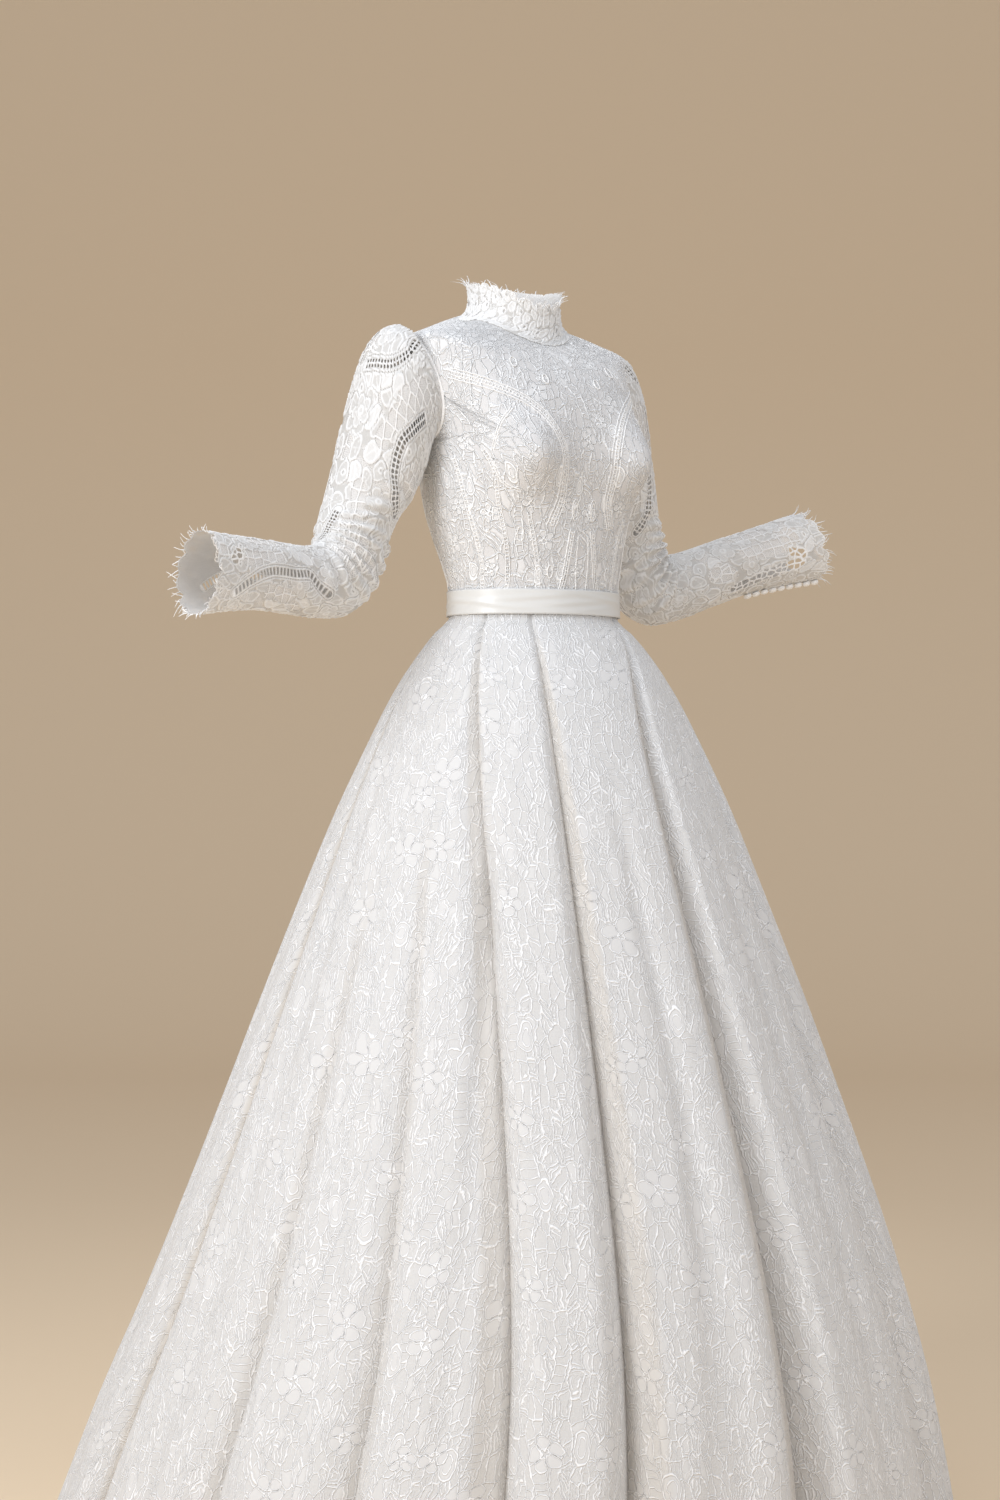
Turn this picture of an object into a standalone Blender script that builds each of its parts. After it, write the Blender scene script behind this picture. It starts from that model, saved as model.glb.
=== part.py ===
"""A long-sleeved lace wedding dress in its worn, hollow form.

Metres, +Z up. The front faces -Y and +X is the wearer's left. The origin lies midway between
the two shoulder points, where the wearer carries the dress. Every cloth piece is a thin wall:
its outer face comes from a surface function, and its inner face is moved in by the cloth's thickness.
"""

import math

import bmesh
import bpy
import numpy as np
from mathutils import Matrix, Vector
from mathutils.bvhtree import BVHTree

# Cloth and seams
LACE_OVER_LINING = 0.0016  # bodice and collar
SLEEVE_LACE = 0.0014
SKIRT_CLOTH = 0.0020  # lace, lining and net, which hang as one
RIBBON = 0.0012
BELT_LIFT = RIBBON + 0.0011
SEAM_GAP = 0.0003
ANGLE_STEP = 0.02  # degrees, to measure a surface's slope round the body or the arm
LEVEL_STEP = 0.002  # table rows, rise or metres, to measure its slope up and down

# Main sizes
WAIST_SEAM_Z = -0.335
BELT_TOP_Z = -0.3165
BELT_WIDTH = 0.032
SKIRT_LENGTH = 1.183  # from the waist seam to the hem
CENTRE_BACK = 180.0
SHOULDER_SEAM = 98.0

# Bodice levels, from the waist seam up to the neck seam. z and y in metres at the centre front, the side
# and the centre back. roundness is the exponent of the section: 2 is an ellipse and more is boxier.
# level:         z_front  z_side  z_back  half_width  y_front  y_middle  y_back  roundness
BODICE_LEVELS = [
    ("waist_seam", -0.335, -0.335, -0.335, 0.1180, -0.1210, -0.0320, 0.0620, 2.10),
    ("waist", -0.312, -0.312, -0.312, 0.1182, -0.1215, -0.0315, 0.0635, 2.10),
    ("above_waist", -0.282, -0.282, -0.282, 0.1225, -0.1240, -0.0300, 0.0770, 2.12),
    ("ribs", -0.245, -0.245, -0.245, 0.1305, -0.1265, -0.0270, 0.0930, 2.15),
    ("under_bust", -0.206, -0.206, -0.206, 0.1380, -0.1280, -0.0230, 0.1030, 2.20),
    ("bust", -0.162, -0.164, -0.162, 0.1415, -0.1300, -0.0150, 0.1080, 2.25),
    ("underarm", -0.122, -0.129, -0.122, 0.1440, -0.1270, -0.0060, 0.1120, 2.30),
    ("chest", -0.084, -0.085, -0.078, 0.1505, -0.1190, 0.0000, 0.1120, 2.40),
    ("upper_chest", -0.052, -0.040, -0.034, 0.1590, -0.1045, 0.0040, 0.1080, 2.40),
    ("shoulder_point", -0.026, 0.002, 0.014, 0.1640, -0.0850, 0.0060, 0.0980, 2.30),
    ("mid_shoulder", -0.008, 0.0215, 0.048, 0.1160, -0.0680, 0.0060, 0.0850, 2.15),
    ("neck_seam", 0.004, 0.034, 0.060, 0.0665, -0.0530, 0.0080, 0.0720, 2.00),
]
WAIST_LEVEL, UNDERARM_LEVEL, SHOULDER_LEVEL, NECK_LEVEL = 0.0, 6.0, 9.0, 11.0

# Bust cups: how far each stands out of the section, where, and how wide it spreads
CUP_DEPTH = 0.040
CUP_ANGLE = 37.0
CUP_SPREAD = 23.0  # degrees round the body
CUP_Z = -0.150
CUP_SPREAD_BELOW = 0.046
CUP_SPREAD_ABOVE = 0.058

# Armholes: ovals round the side of the body, from the underarm up to the shoulder point
ARMHOLE_HALF_ANGLE = 20.5
ARMHOLE_MIDDLE_LEVEL = (UNDERARM_LEVEL + SHOULDER_LEVEL) / 2
ARMHOLE_HALF_LEVELS = (SHOULDER_LEVEL - UNDERARM_LEVEL) / 2
SLEEVE_EASE = 0.0022  # the sleeve's edge stands this far inside the armhole, measured from cloth centre to centre

# The princess seam between front and side front, as degrees from the centre front at each bodice level
PRINCESS_SEAM = [(0, 23), (2, 25), (3, 28), (4, 32), (5, 37), (6, 46), (6.6, 58), (7.2, 76.6)]
PRINCESS_TOP_LEVEL = 7.2  # where it meets the armhole
SIDE_SEAM = 92.0

# Stand collar. rise runs from 0 at the neck seam to 1 at the top edge.
# rise:        z_front z_side  z_back  half_width y_front  y_middle y_back
COLLAR_LEVELS = [
    ("neck_seam", 0.0055, 0.0358, 0.0620, 0.0655, -0.0525, 0.0080, 0.0705),
    ("lower", 0.020, 0.0480, 0.0700, 0.0620, -0.0495, 0.0085, 0.0675),
    ("upper", 0.035, 0.0620, 0.0780, 0.0605, -0.0485, 0.0090, 0.0665),
    ("top_edge", 0.0495, 0.0750, 0.0860, 0.0610, -0.0500, 0.0095, 0.0680),
]
COLLAR_SCALLOPS = 16
COLLAR_SCALLOP_DEPTH = 0.0035

# Skirt envelope, over the tops of its folds. drop is measured down from the waist seam.
# drop:         drop   half_width y_front  y_middle y_back
SKIRT_LEVELS = [
    ("waist_seam", 0.000, 0.1180, -0.1210, -0.0320, 0.0620),
    ("belt_edge", 0.016, 0.1195, -0.1225, -0.0320, 0.0640),
    ("first_swell", 0.034, 0.1370, -0.1420, -0.0320, 0.0820),
    ("high_hip", 0.060, 0.1570, -0.1665, -0.0320, 0.1030),
    ("hip", 0.106, 0.1860, -0.1995, -0.0320, 0.1360),
    ("full_hip", 0.177, 0.2210, -0.2385, -0.0320, 0.1750),
    ("thigh", 0.262, 0.2590, -0.2795, -0.0310, 0.2180),
    ("above_knee", 0.359, 0.2970, -0.3200, -0.0300, 0.2620),
    ("knee", 0.522, 0.3600, -0.3840, -0.0290, 0.3280),
    ("under_knee", 0.626, 0.3980, -0.4220, -0.0270, 0.3700),
    ("calf", 0.756, 0.4460, -0.4680, -0.0230, 0.4240),
    ("low_calf", 0.886, 0.4920, -0.5070, -0.0130, 0.4840),
    ("ankle", 1.009, 0.5350, -0.5350, 0.0060, 0.5450),
    ("hem", 1.183, 0.5870, -0.5600, 0.0330, 0.6230),
]

# Folds of the skirt, as valleys from the wearer's right back round by the front to the left back.
# Angles in degrees from the centre front. A fold settles from its waist angle to its hem angle over the
# length in settles. begins is the drop where it starts: 0 is a pleat sewn into the waist seam.
# depth and the two widths are at the hem, in millimetres.
# fold:           waist   hem   settles begins depth right_width left_width
FOLDS = [
    ("back_right_2", -160.0, -158.0, 0.30, 0.00, 56, 66, 64),
    ("back_right_1", -138.0, -134.0, 0.30, 0.00, 54, 64, 66),
    ("side_right", -114.0, -106.0, 0.12, 0.00, 42, 62, 60),
    ("side_right_low", -86.0, -81.0, 0.35, 0.34, 34, 58, 54),
    ("front_right_low", -82.0, -60.0, 0.33, 0.26, 34, 50, 48),
    ("front_right_2", -69.5, -40.0, 0.37, 0.00, 46, 84, 44),
    ("front_right_1", -36.0, -24.0, 0.50, 0.00, 58, 52, 36),
    ("front_left_1", 47.0, 1.0, 0.065, 0.00, 74, 82, 46),
    ("front_left_2", 74.0, 29.0, 0.12, 0.00, 64, 74, 52),
    ("front_left_low", 84.0, 52.0, 0.25, 0.22, 40, 56, 54),
    ("side_left", 100.0, 75.0, 0.30, 0.00, 54, 66, 60),
    ("side_left_low", 108.0, 98.0, 0.33, 0.34, 34, 58, 56),
    ("back_left_1", 122.0, 119.0, 0.30, 0.00, 52, 64, 62),
    ("back_left_2", 140.0, 140.0, 0.30, 0.00, 56, 64, 64),
    ("back_left_3", 160.0, 161.0, 0.30, 0.00, 50, 60, 60),
    ("centre_back", 180.0, 180.0, 0.30, 0.00, 58, 64, 64),
]
PLEAT_DEPTH_AT_WAIST = 0.0030
PLEAT_WIDTH_AT_WAIST = 0.0040
FOLD_GROWTH = 0.80  # exponent of how a fold deepens on its way down
FOLD_STATIONS = [-1.0, -0.55, -0.2, 0.2, 0.55, 1.0]  # columns across each valley, in shares of its widths
# The skirt's panels, each sewn to the next at the bottom of a fold
# panel:         first_fold       last_fold
SKIRT_PANELS = [
    ("skirt_back_R", "centre_back", "back_right_1"),
    ("skirt_side_back_R", "back_right_1", "side_right"),
    ("skirt_side_R", "side_right", "front_right_2"),
    ("skirt_front", "front_right_2", "front_left_2"),
    ("skirt_side_L", "front_left_2", "side_left_low"),
    ("skirt_side_back_L", "side_left_low", "back_left_2"),
    ("skirt_back_L", "back_left_2", "centre_back"),
]
SKIRT_ROWS = [0.0003, 0.016, 0.034, 0.070, 0.13, 0.22, 0.34, 0.50, 0.68, 0.86, 1.02, SKIRT_LENGTH]

# Sleeve rings for the wearer's left, as worn: over is the ring's point over the arm, which turns to the
# top of the forearm, and under is the point opposite. half_depth is half the ring's size front to back.
# ring:           over_x  over_y  over_z  under_x under_y under_z half_depth
SLEEVE_RINGS = [
    ("head_1", 0.1800, 0.0240, 0.0170, 0.1470, 0.0160, -0.1360, 0.0500),
    ("head_2", 0.1980, 0.0290, 0.0100, 0.1475, 0.0200, -0.1430, 0.0560),
    ("head_3", 0.2130, 0.0310, -0.0090, 0.1480, 0.0240, -0.1510, 0.0590),
    ("cap", 0.2245, 0.0320, -0.0380, 0.1480, 0.0280, -0.1590, 0.0610),
    ("high_arm", 0.2340, 0.0340, -0.0750, 0.1490, 0.0320, -0.1700, 0.0620),
    ("arm", 0.2445, 0.0370, -0.1130, 0.1520, 0.0360, -0.1830, 0.0610),
    ("low_arm", 0.2540, 0.0390, -0.1500, 0.1600, 0.0390, -0.1990, 0.0580),
    ("above_elbow", 0.2635, 0.0410, -0.1830, 0.1720, 0.0410, -0.2180, 0.0535),
    ("elbow_1", 0.2725, 0.0425, -0.2110, 0.1840, 0.0420, -0.2370, 0.0500),
    ("elbow_2", 0.2805, 0.0420, -0.2340, 0.1950, 0.0420, -0.2620, 0.0470),
    ("elbow_3", 0.2850, 0.0400, -0.2510, 0.2090, 0.0410, -0.2960, 0.0450),
    ("elbow_4", 0.2930, 0.0370, -0.2610, 0.2310, 0.0380, -0.3330, 0.0435),
    ("below_elbow", 0.3060, 0.0330, -0.2660, 0.2640, 0.0340, -0.3530, 0.0420),
    ("forearm_1", 0.3300, 0.0260, -0.2685, 0.3080, 0.0280, -0.3555, 0.0410),
    ("forearm_2", 0.3650, 0.0160, -0.2675, 0.3560, 0.0180, -0.3520, 0.0400),
    ("forearm_3", 0.4100, 0.0030, -0.2655, 0.4080, 0.0040, -0.3500, 0.0400),
    ("above_cuff", 0.4620, -0.0130, -0.2640, 0.4640, -0.0120, -0.3540, 0.0410),
    ("cuff", 0.5150, -0.0290, -0.2620, 0.5230, -0.0280, -0.3610, 0.0430),
]
ARMHOLE_RING = -1.0  # the ring before head_1 is the armhole itself
CUFF_RING = len(SLEEVE_RINGS) - 1.0
ELBOW_PIVOT = Vector((0.250, 0.042, -0.303))
ELBOW_BEND_START, ELBOW_BEND_END = 8.0, 12.0  # rings between which the forearm's lift comes in
FOREARM_LIFT = {"R": 0.0, "L": 17.0}  # degrees: the left forearm is held higher

# Creases of the sleeve at the elbow and the gathered head. ring and around place the crease's middle,
# turn tilts it across the sleeve. around is in degrees: 0 over the arm, 90 front, 180 under, 270 back.
# crease:        ring  around  long_deg  wide_rings turn(rings per degree) height_mm
SLEEVE_CREASES = [
    ("elbow_front_1", 9.2, 70, 62, 0.42, 0.010, 4.0),
    ("elbow_front_2", 10.5, 82, 70, 0.45, 0.004, 4.5),
    ("elbow_front_3", 11.7, 75, 58, 0.50, -0.006, 3.5),
    ("elbow_front_4", 13.0, 105, 50, 0.60, -0.012, 2.5),
    ("elbow_back_1", 9.4, 285, 60, 0.45, -0.010, 4.0),
    ("elbow_back_2", 10.9, 275, 66, 0.50, -0.002, 4.0),
    ("elbow_back_3", 12.2, 285, 50, 0.60, 0.008, 3.0),
    ("arm_front", 6.2, 120, 50, 0.70, 0.012, 2.5),
    ("arm_back", 6.0, 240, 50, 0.70, -0.012, 2.5),
]
SLEEVE_HEAD_GATHERS = 10  # soft waves over the top of the sleeve head
GATHER_HEIGHT = 0.0022
SLEEVE_COLUMNS = 8  # cells round each half of a sleeve
SLEEVE_ROWS = [
    -1.0, -0.5, 0.0, 1.0, 2.0, 3.0, 3.5, 4.0, 4.5, 5.0, 5.5, 6.0, 6.5, 7.0, 8.0,
    9.0, 9.8, 10.6, 11.4, 12.2, 13.0, 13.6, 14.2, 14.8, 15.4, 16.0, 17.0,
]

# Open places in the sleeve lace, cut right through. Each band runs between two rings and bends through
# three angles round the sleeve. wide and long are the shares of a grid cell that the gap takes.
# band:           half   first_ring last_ring start_deg middle_deg end_deg columns wide long
LACE_GAPS = [
    ("net_on_cap", "front", 1.0, 3.5, 46, 54, 62, 2, 0.40, 0.34),
    ("ladder_upper", "front", 3.0, 8.0, 98, 74, 118, 1, 0.36, 0.44),
    ("ladder_inner", "front", 4.5, 7.0, 108, 108, 124, 1, 0.30, 0.38),
    ("ladder_forearm", "front", 13.0, 16.3, 112, 84, 122, 1, 0.40, 0.46),
    ("net_forearm", "front", 14.2, 16.3, 58, 66, 66, 1, 0.40, 0.46),
    ("cuff_work", "front", 16.0, 17.0, 90, 90, 90, 4, 0.42, 0.30),
    ("net_on_cap_back", "back", 1.0, 3.5, 300, 300, 298, 1, 0.40, 0.34),
    ("ladder_back", "back", 3.5, 8.0, 258, 250, 240, 1, 0.36, 0.44),
    ("ladder_forearm_back", "back", 13.0, 16.3, 250, 274, 250, 1, 0.40, 0.46),
    ("cuff_work_back", "back", 16.0, 17.0, 270, 270, 270, 4, 0.42, 0.30),
]

# Covered buttons along the underarm seam, up from the cuff
BUTTON_COUNT = 9
BUTTON_RADIUS = 0.0056
BUTTON_HEIGHT = 0.0062
BUTTON_SPACING = 0.0138
FIRST_BUTTON_FROM_CUFF = 0.010
BUTTON_AROUND = {"R": 216.0, "L": 166.0}  # degrees round the sleeve
BUTTON_SIDES = 8

# Eyelash edging: a narrow strip with lashes standing out of it
LASH_LENGTH = 0.0090
LASH_WIDTH = 0.0022
STRIP_HEIGHT = 0.0024
STRIP_THICKNESS = 0.0012
COLLAR_LASHES = 36
CUFF_LASHES = 28

COLOURS = {  # colour, roughness
    "lace": ((0.86, 0.85, 0.83), 0.80),
    "sleeve_lace": ((0.88, 0.87, 0.85), 0.85),
    "satin": ((0.87, 0.86, 0.83), 0.32),
    "covered_button": ((0.88, 0.87, 0.85), 0.50),
}


# ---------------------------------------------------------------- curves and tables

def hermite(keys, values, at):
    """Smooth curve through (keys, values) that never overshoots between two rows."""
    at = min(max(at, keys[0]), keys[-1])
    index = min(max(np.searchsorted(keys, at, side="right") - 1, 0), len(keys) - 2)
    steps = np.diff(keys)
    slopes = np.diff(values) / steps

    def tangent(row):
        if row == 0:
            return slopes[0]
        if row == len(slopes):
            return slopes[-1]
        before, after = slopes[row - 1], slopes[row]
        return 0.0 if before * after <= 0 else 2 * before * after / (before + after)

    span = steps[index]
    share = (at - keys[index]) / span
    square, cube = share**2, share**3
    return (
        (2 * cube - 3 * square + 1) * values[index]
        + (cube - 2 * square + share) * span * tangent(index)
        + (3 * square - 2 * cube) * values[index + 1]
        + (cube - square) * span * tangent(index + 1)
    )


def columns_of(table, keys=None):
    """The number columns of a table, with the rows' own positions as keys unless others are given."""
    numbers = np.array([row[1:] for row in table], float)
    return (np.arange(len(table), dtype=float) if keys is None else keys), numbers


def sample(table, at, keys=None):
    keys, numbers = columns_of(table, keys)
    return [hermite(keys, numbers[:, column], at) for column in range(numbers.shape[1])]


def bell(distance):
    """1 at 0, falling smoothly to 0 at 1 and beyond."""
    return 0.0 if abs(distance) >= 1 else 0.5 + 0.5 * math.cos(math.pi * distance)


def ease(share):
    """0 to 1 with flat ends."""
    share = min(max(share, 0.0), 1.0)
    return share * share * (3 - 2 * share)


def section_point(angle, half_width, y_front, y_middle, y_back, roundness):
    """A point of a body section: angle 0 is the centre front, 90 the wearer's left."""
    turn = math.radians(angle)
    power = 2 / roundness
    side, ahead = math.sin(turn), math.cos(turn)
    reach = y_front - y_middle if ahead > 0 else y_back - y_middle
    return (
        half_width * math.copysign(abs(side) ** power, side),
        y_middle + reach * abs(ahead) ** power,
    )


def height_round(angle, z_front, z_side, z_back):
    """Height of a tilted section: its front, side and back heights, blended round the body."""
    side, ahead = math.sin(math.radians(angle)) ** 2, math.cos(math.radians(angle))
    return z_side * side + (z_front if ahead > 0 else z_back) * (1 - side)


# ---------------------------------------------------------------- garment surfaces

def bodice_surface(angle, level):
    z_front, z_side, z_back, half_width, y_front, y_middle, y_back, roundness = sample(BODICE_LEVELS, level)
    x, y = section_point(angle, half_width, y_front, y_middle, y_back, roundness)
    z = height_round(angle, z_front, z_side, z_back)
    spread = CUP_SPREAD_BELOW if z < CUP_Z else CUP_SPREAD_ABOVE
    rise = math.exp(-(((z - CUP_Z) / spread) ** 2))
    for cup in (-CUP_ANGLE, CUP_ANGLE):
        swell = CUP_DEPTH * rise * math.exp(-(((angle - cup) / CUP_SPREAD) ** 2))
        x += swell * 0.25 * math.sin(math.radians(cup))
        y -= swell
    return Vector((x, y, z))


def collar_surface(angle, rise):
    z_front, z_side, z_back, half_width, y_front, y_middle, y_back = sample(COLLAR_LEVELS, rise)
    x, y = section_point(angle, half_width, y_front, y_middle, y_back, 2.0)
    scallop = COLLAR_SCALLOP_DEPTH * abs(math.sin(math.radians(angle) * COLLAR_SCALLOPS / 2))
    z = height_round(angle, z_front, z_side, z_back) + scallop * ease(rise - 2)
    return Vector((x, y, z))


def belt_surface(angle, z):
    """The ribbon lies over the bodice's lower edge and the skirt's upper edge."""
    if z > WAIST_SEAM_Z:
        level = hermite(np.array([WAIST_SEAM_Z, -0.312, -0.282]), np.array([0.0, 1.0, 2.0]), z)
        return Vector((*bodice_surface(angle, level).xy, z))
    half_width, y_front, y_middle, y_back = skirt_section(WAIST_SEAM_Z - z)
    return Vector((*section_point(angle, half_width, y_front, y_middle, y_back, 2.1), z))


def fold_angle(fold, drop):
    _, waist, hem, settles, *_ = fold
    return hem + (waist - hem) * math.exp(-drop / settles)


def fold_growth(fold, drop):
    """How far the fold has opened: 0 where it begins and 1 at the hem."""
    begins = fold[4]
    return max(0.0, (drop - begins) / (SKIRT_LENGTH - begins)) ** FOLD_GROWTH


def fold_widths(fold, drop):
    """Arc widths of the valley to the wearer's right and to the left, in metres."""
    open_share = max(0.0, drop / SKIRT_LENGTH) ** FOLD_GROWTH
    return [PLEAT_WIDTH_AT_WAIST + (width / 1000 - PLEAT_WIDTH_AT_WAIST) * open_share for width in fold[6:8]]


def fold_depth(fold, drop):
    begins, depth = fold[4], fold[5] / 1000
    pleat = PLEAT_DEPTH_AT_WAIST * ease(drop / 0.02) if begins == 0 else 0.0
    return pleat + (depth - pleat) * fold_growth(fold, drop)


def skirt_section(drop):
    return sample(SKIRT_LEVELS_ONLY, drop, SKIRT_DROPS)


def skirt_surface(angle, drop):
    half_width, y_front, y_middle, y_back = skirt_section(drop)
    x, y = section_point(angle, half_width, y_front, y_middle, y_back, 2.0)
    outward = Vector((x, y - y_middle, 0.0))
    radius = outward.length
    sunk = 0.0
    for fold in FOLDS:
        away = (angle - fold_angle(fold, drop) + 180) % 360 - 180
        width = fold_widths(fold, drop)[0 if away < 0 else 1]
        sunk += fold_depth(fold, drop) * bell(math.radians(away) * radius / width)
    flat = outward * (1 - sunk / radius)
    return Vector((flat.x, flat.y + y_middle, WAIST_SEAM_Z - drop))


SKIRT_DROPS = np.array([row[1] for row in SKIRT_LEVELS])
SKIRT_LEVELS_ONLY = [(row[0], *row[2:]) for row in SKIRT_LEVELS]


def armhole_place(around):
    """Angle and level on the bodice of the armhole's edge, for the wearer's left."""
    turn = math.radians(around)
    return SHOULDER_SEAM - ARMHOLE_HALF_ANGLE * math.sin(turn), ARMHOLE_MIDDLE_LEVEL + ARMHOLE_HALF_LEVELS * math.cos(turn)


def armhole_half_angle(level):
    share = (level - ARMHOLE_MIDDLE_LEVEL) / ARMHOLE_HALF_LEVELS
    return ARMHOLE_HALF_ANGLE * math.sqrt(max(0.0, 1 - share * share))


def armhole_ring_point(around):
    """The sleeve's sewn edge: inside the armhole by its ease."""
    middle = Vector((0, 0, 0))
    for step in range(0, 360, 45):
        middle += bodice_surface(*armhole_place(step)) / 8
    edge = bodice_surface(*armhole_place(around))
    return edge + (middle - edge).normalized() * SLEEVE_EASE


def smooth_ring(ring):
    """over point, under point and half depth of the sleeve between its table's rings."""
    numbers = sample(SLEEVE_RINGS, ring)
    return Vector(numbers[0:3]), Vector(numbers[3:6]), numbers[6]


def lifted(point, ring, side):
    share = ease((ring - ELBOW_BEND_START) / (ELBOW_BEND_END - ELBOW_BEND_START))
    turn = Matrix.Rotation(math.radians(-FOREARM_LIFT[side] * share), 3, "Y")
    return ELBOW_PIVOT + turn @ (point - ELBOW_PIVOT)


def crease_height(ring, around):
    height = 0.0
    for _, at_ring, at_around, long, wide, turn, millimetres in SLEEVE_CREASES:
        across = (around - at_around + 180) % 360 - 180
        along = ring - at_ring - turn * across
        height += millimetres / 1000 * bell(across / long) * math.cos(math.pi * along / wide / 2) * bell(along / wide / 2)
    gathers = 0.5 + 0.5 * math.cos(math.radians(around) * SLEEVE_HEAD_GATHERS)
    over_shoulder = bell(((around + 180) % 360 - 180) / 100)
    return height + GATHER_HEIGHT * gathers * over_shoulder * bell((ring - 0.5) / 2.2)


def sleeve_surface(side, around, ring):
    """A point of the sleeve. side is L or R, around is in degrees and ring counts along SLEEVE_RINGS."""
    turn = math.radians(around)
    over, under, half_depth = smooth_ring(max(ring, 0.0))
    middle = (over + under) / 2
    point = middle + (over - middle) * math.cos(turn) + Vector((0, -half_depth, 0)) * math.sin(turn)
    outward = (point - middle).normalized()
    if ring < 0:
        share = -ring
        point = point.lerp(armhole_ring_point(around), share)
    point = point + outward * crease_height(ring, around) * (1 if ring >= 0 else 1 + ring)
    point = lifted(point, ring, side)
    if side == "R":
        point.x = -point.x
    return point


# ---------------------------------------------------------------- cloth walls

def normal_of(surface, first, second, outward_hint):
    """Unit normal of a surface, on the side of outward_hint."""
    point = surface(first, second)
    along_first = surface(first + ANGLE_STEP, second) - surface(first - ANGLE_STEP, second)
    along_second = surface(first, second + LEVEL_STEP) - surface(first, second - LEVEL_STEP)
    normal = along_first.cross(along_second).normalized()
    return normal if normal.dot(point - outward_hint) >= 0 else -normal



def two_faces(surface, places, thickness, middle_of, lift=0.0):
    """Outer and inner points of a wall: arrays of rows by columns by 3. lift moves the wall outwards."""
    outer, inner = [], []
    for row in places:
        points = [surface(*place) for place in row]
        normals = [normal_of(surface, *place, middle_of(*place)) for place in row]
        outer.append([p + n * lift for p, n in zip(points, normals)])
        inner.append([p + n * (lift - thickness) for p, n in zip(points, normals)])
    return np.array(outer), np.array(inner)


def part_edges(outer, inner, first=True, last=True):
    """Draws the side edges of a panel in by half a seam gap."""
    for face in (outer, inner):
        for edge, beside, wanted in ((0, 1, first), (-1, -2, last)):
            if wanted:
                step = face[:, beside] - face[:, edge]
                face[:, edge] += step / np.linalg.norm(step, axis=1)[:, None] * SEAM_GAP / 2


def cloth_wall(name, outer, inner, material, gaps=None):
    """Makes one closed wall from its two faces. gaps maps a (row, column) cell to its gap's wide and long shares."""
    gaps = gaps or {}
    rows, columns = outer.shape[:2]
    mesh = bmesh.new()
    sides = [[[mesh.verts.new(point) for point in row] for row in face] for face in (outer, inner)]

    def between(face, row, column, across, along):
        low = face[row][column].co.lerp(face[row][column + 1].co, across)
        high = face[row + 1][column].co.lerp(face[row + 1][column + 1].co, across)
        return mesh.verts.new(low.lerp(high, along))

    for row in range(rows - 1):
        for column in range(columns - 1):
            rims = []
            for face in sides:
                corners = [face[row][column], face[row][column + 1], face[row + 1][column + 1], face[row + 1][column]]
                if (row, column) not in gaps:
                    mesh.faces.new(corners)
                    continue
                wide, long = gaps[row, column]
                signs = ((-1, -1), (1, -1), (1, 1), (-1, 1))
                rim = [between(face, row, column, 0.5 + i * wide / 2, 0.5 + j * long / 2) for i, j in signs]
                for k in range(4):
                    mesh.faces.new((corners[k], corners[(k + 1) % 4], rim[(k + 1) % 4], rim[k]))
                rims.append(rim)
            for k in range(4) if rims else ():
                mesh.faces.new((rims[0][k], rims[0][(k + 1) % 4], rims[1][(k + 1) % 4], rims[1][k]))
    border = [(0, c) for c in range(columns)] + [(r, columns - 1) for r in range(1, rows)]
    border += [(rows - 1, c) for c in range(columns - 2, -1, -1)] + [(r, 0) for r in range(rows - 2, 0, -1)]
    for (r0, c0), (r1, c1) in zip(border, border[1:] + border[:1]):
        mesh.faces.new((sides[0][r0][c0], sides[0][r1][c1], sides[1][r1][c1], sides[1][r0][c0]))
    return finish_mesh(name, mesh, material)


def finish_mesh(name, mesh, material):
    bmesh.ops.recalc_face_normals(mesh, faces=mesh.faces)
    data = bpy.data.meshes.new(name)
    mesh.to_mesh(data)
    mesh.free()
    data.materials.append(material)
    data.shade_smooth()
    data.set_sharp_from_angle(angle=math.radians(50))
    piece = bpy.data.objects.new(name, data)
    bpy.context.scene.collection.objects.link(piece)
    return piece


def spread(start, end, cells):
    return [start + (end - start) * step / cells for step in range(cells + 1)]


# ---------------------------------------------------------------- pieces

def body_middle(angle, level):
    """A point inside the bodice at this level, which tells its outer side from its inner side."""
    z_front, z_side, z_back, _, _, y_middle, *_ = sample(BODICE_LEVELS, level)
    return Vector((0, y_middle, height_round(angle, z_front, z_side, z_back) - 0.05))


def princess_angle(level):
    keys = np.array([row[0] for row in PRINCESS_SEAM], float)
    return hermite(keys, np.array([row[1] for row in PRINCESS_SEAM], float), level)


def armhole_edge(level, towards_back=False):
    """Angle of the bodice's outer edge above the underarm: the armhole, then the shoulder seam."""
    opening = armhole_half_angle(level) if UNDERARM_LEVEL < level < SHOULDER_LEVEL else 0.0
    return SHOULDER_SEAM + opening if towards_back else SHOULDER_SEAM - opening


def bodice_panel(name, levels, first_edge, last_edge, cells, material):
    """A bodice panel between two edges, each a function that gives the angle at a level."""
    places = [[(angle, level) for angle in spread(first_edge(level), last_edge(level), cells)] for level in levels]
    outer, inner = two_faces(bodice_surface, places, LACE_OVER_LINING, body_middle)
    part_edges(outer, inner)
    return cloth_wall(name, outer, inner, material)


def side_edge(level):
    """The side seam, then the armhole."""
    if level <= UNDERARM_LEVEL:
        return SIDE_SEAM + (SHOULDER_SEAM - SIDE_SEAM) * level / UNDERARM_LEVEL
    return armhole_edge(level)


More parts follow.
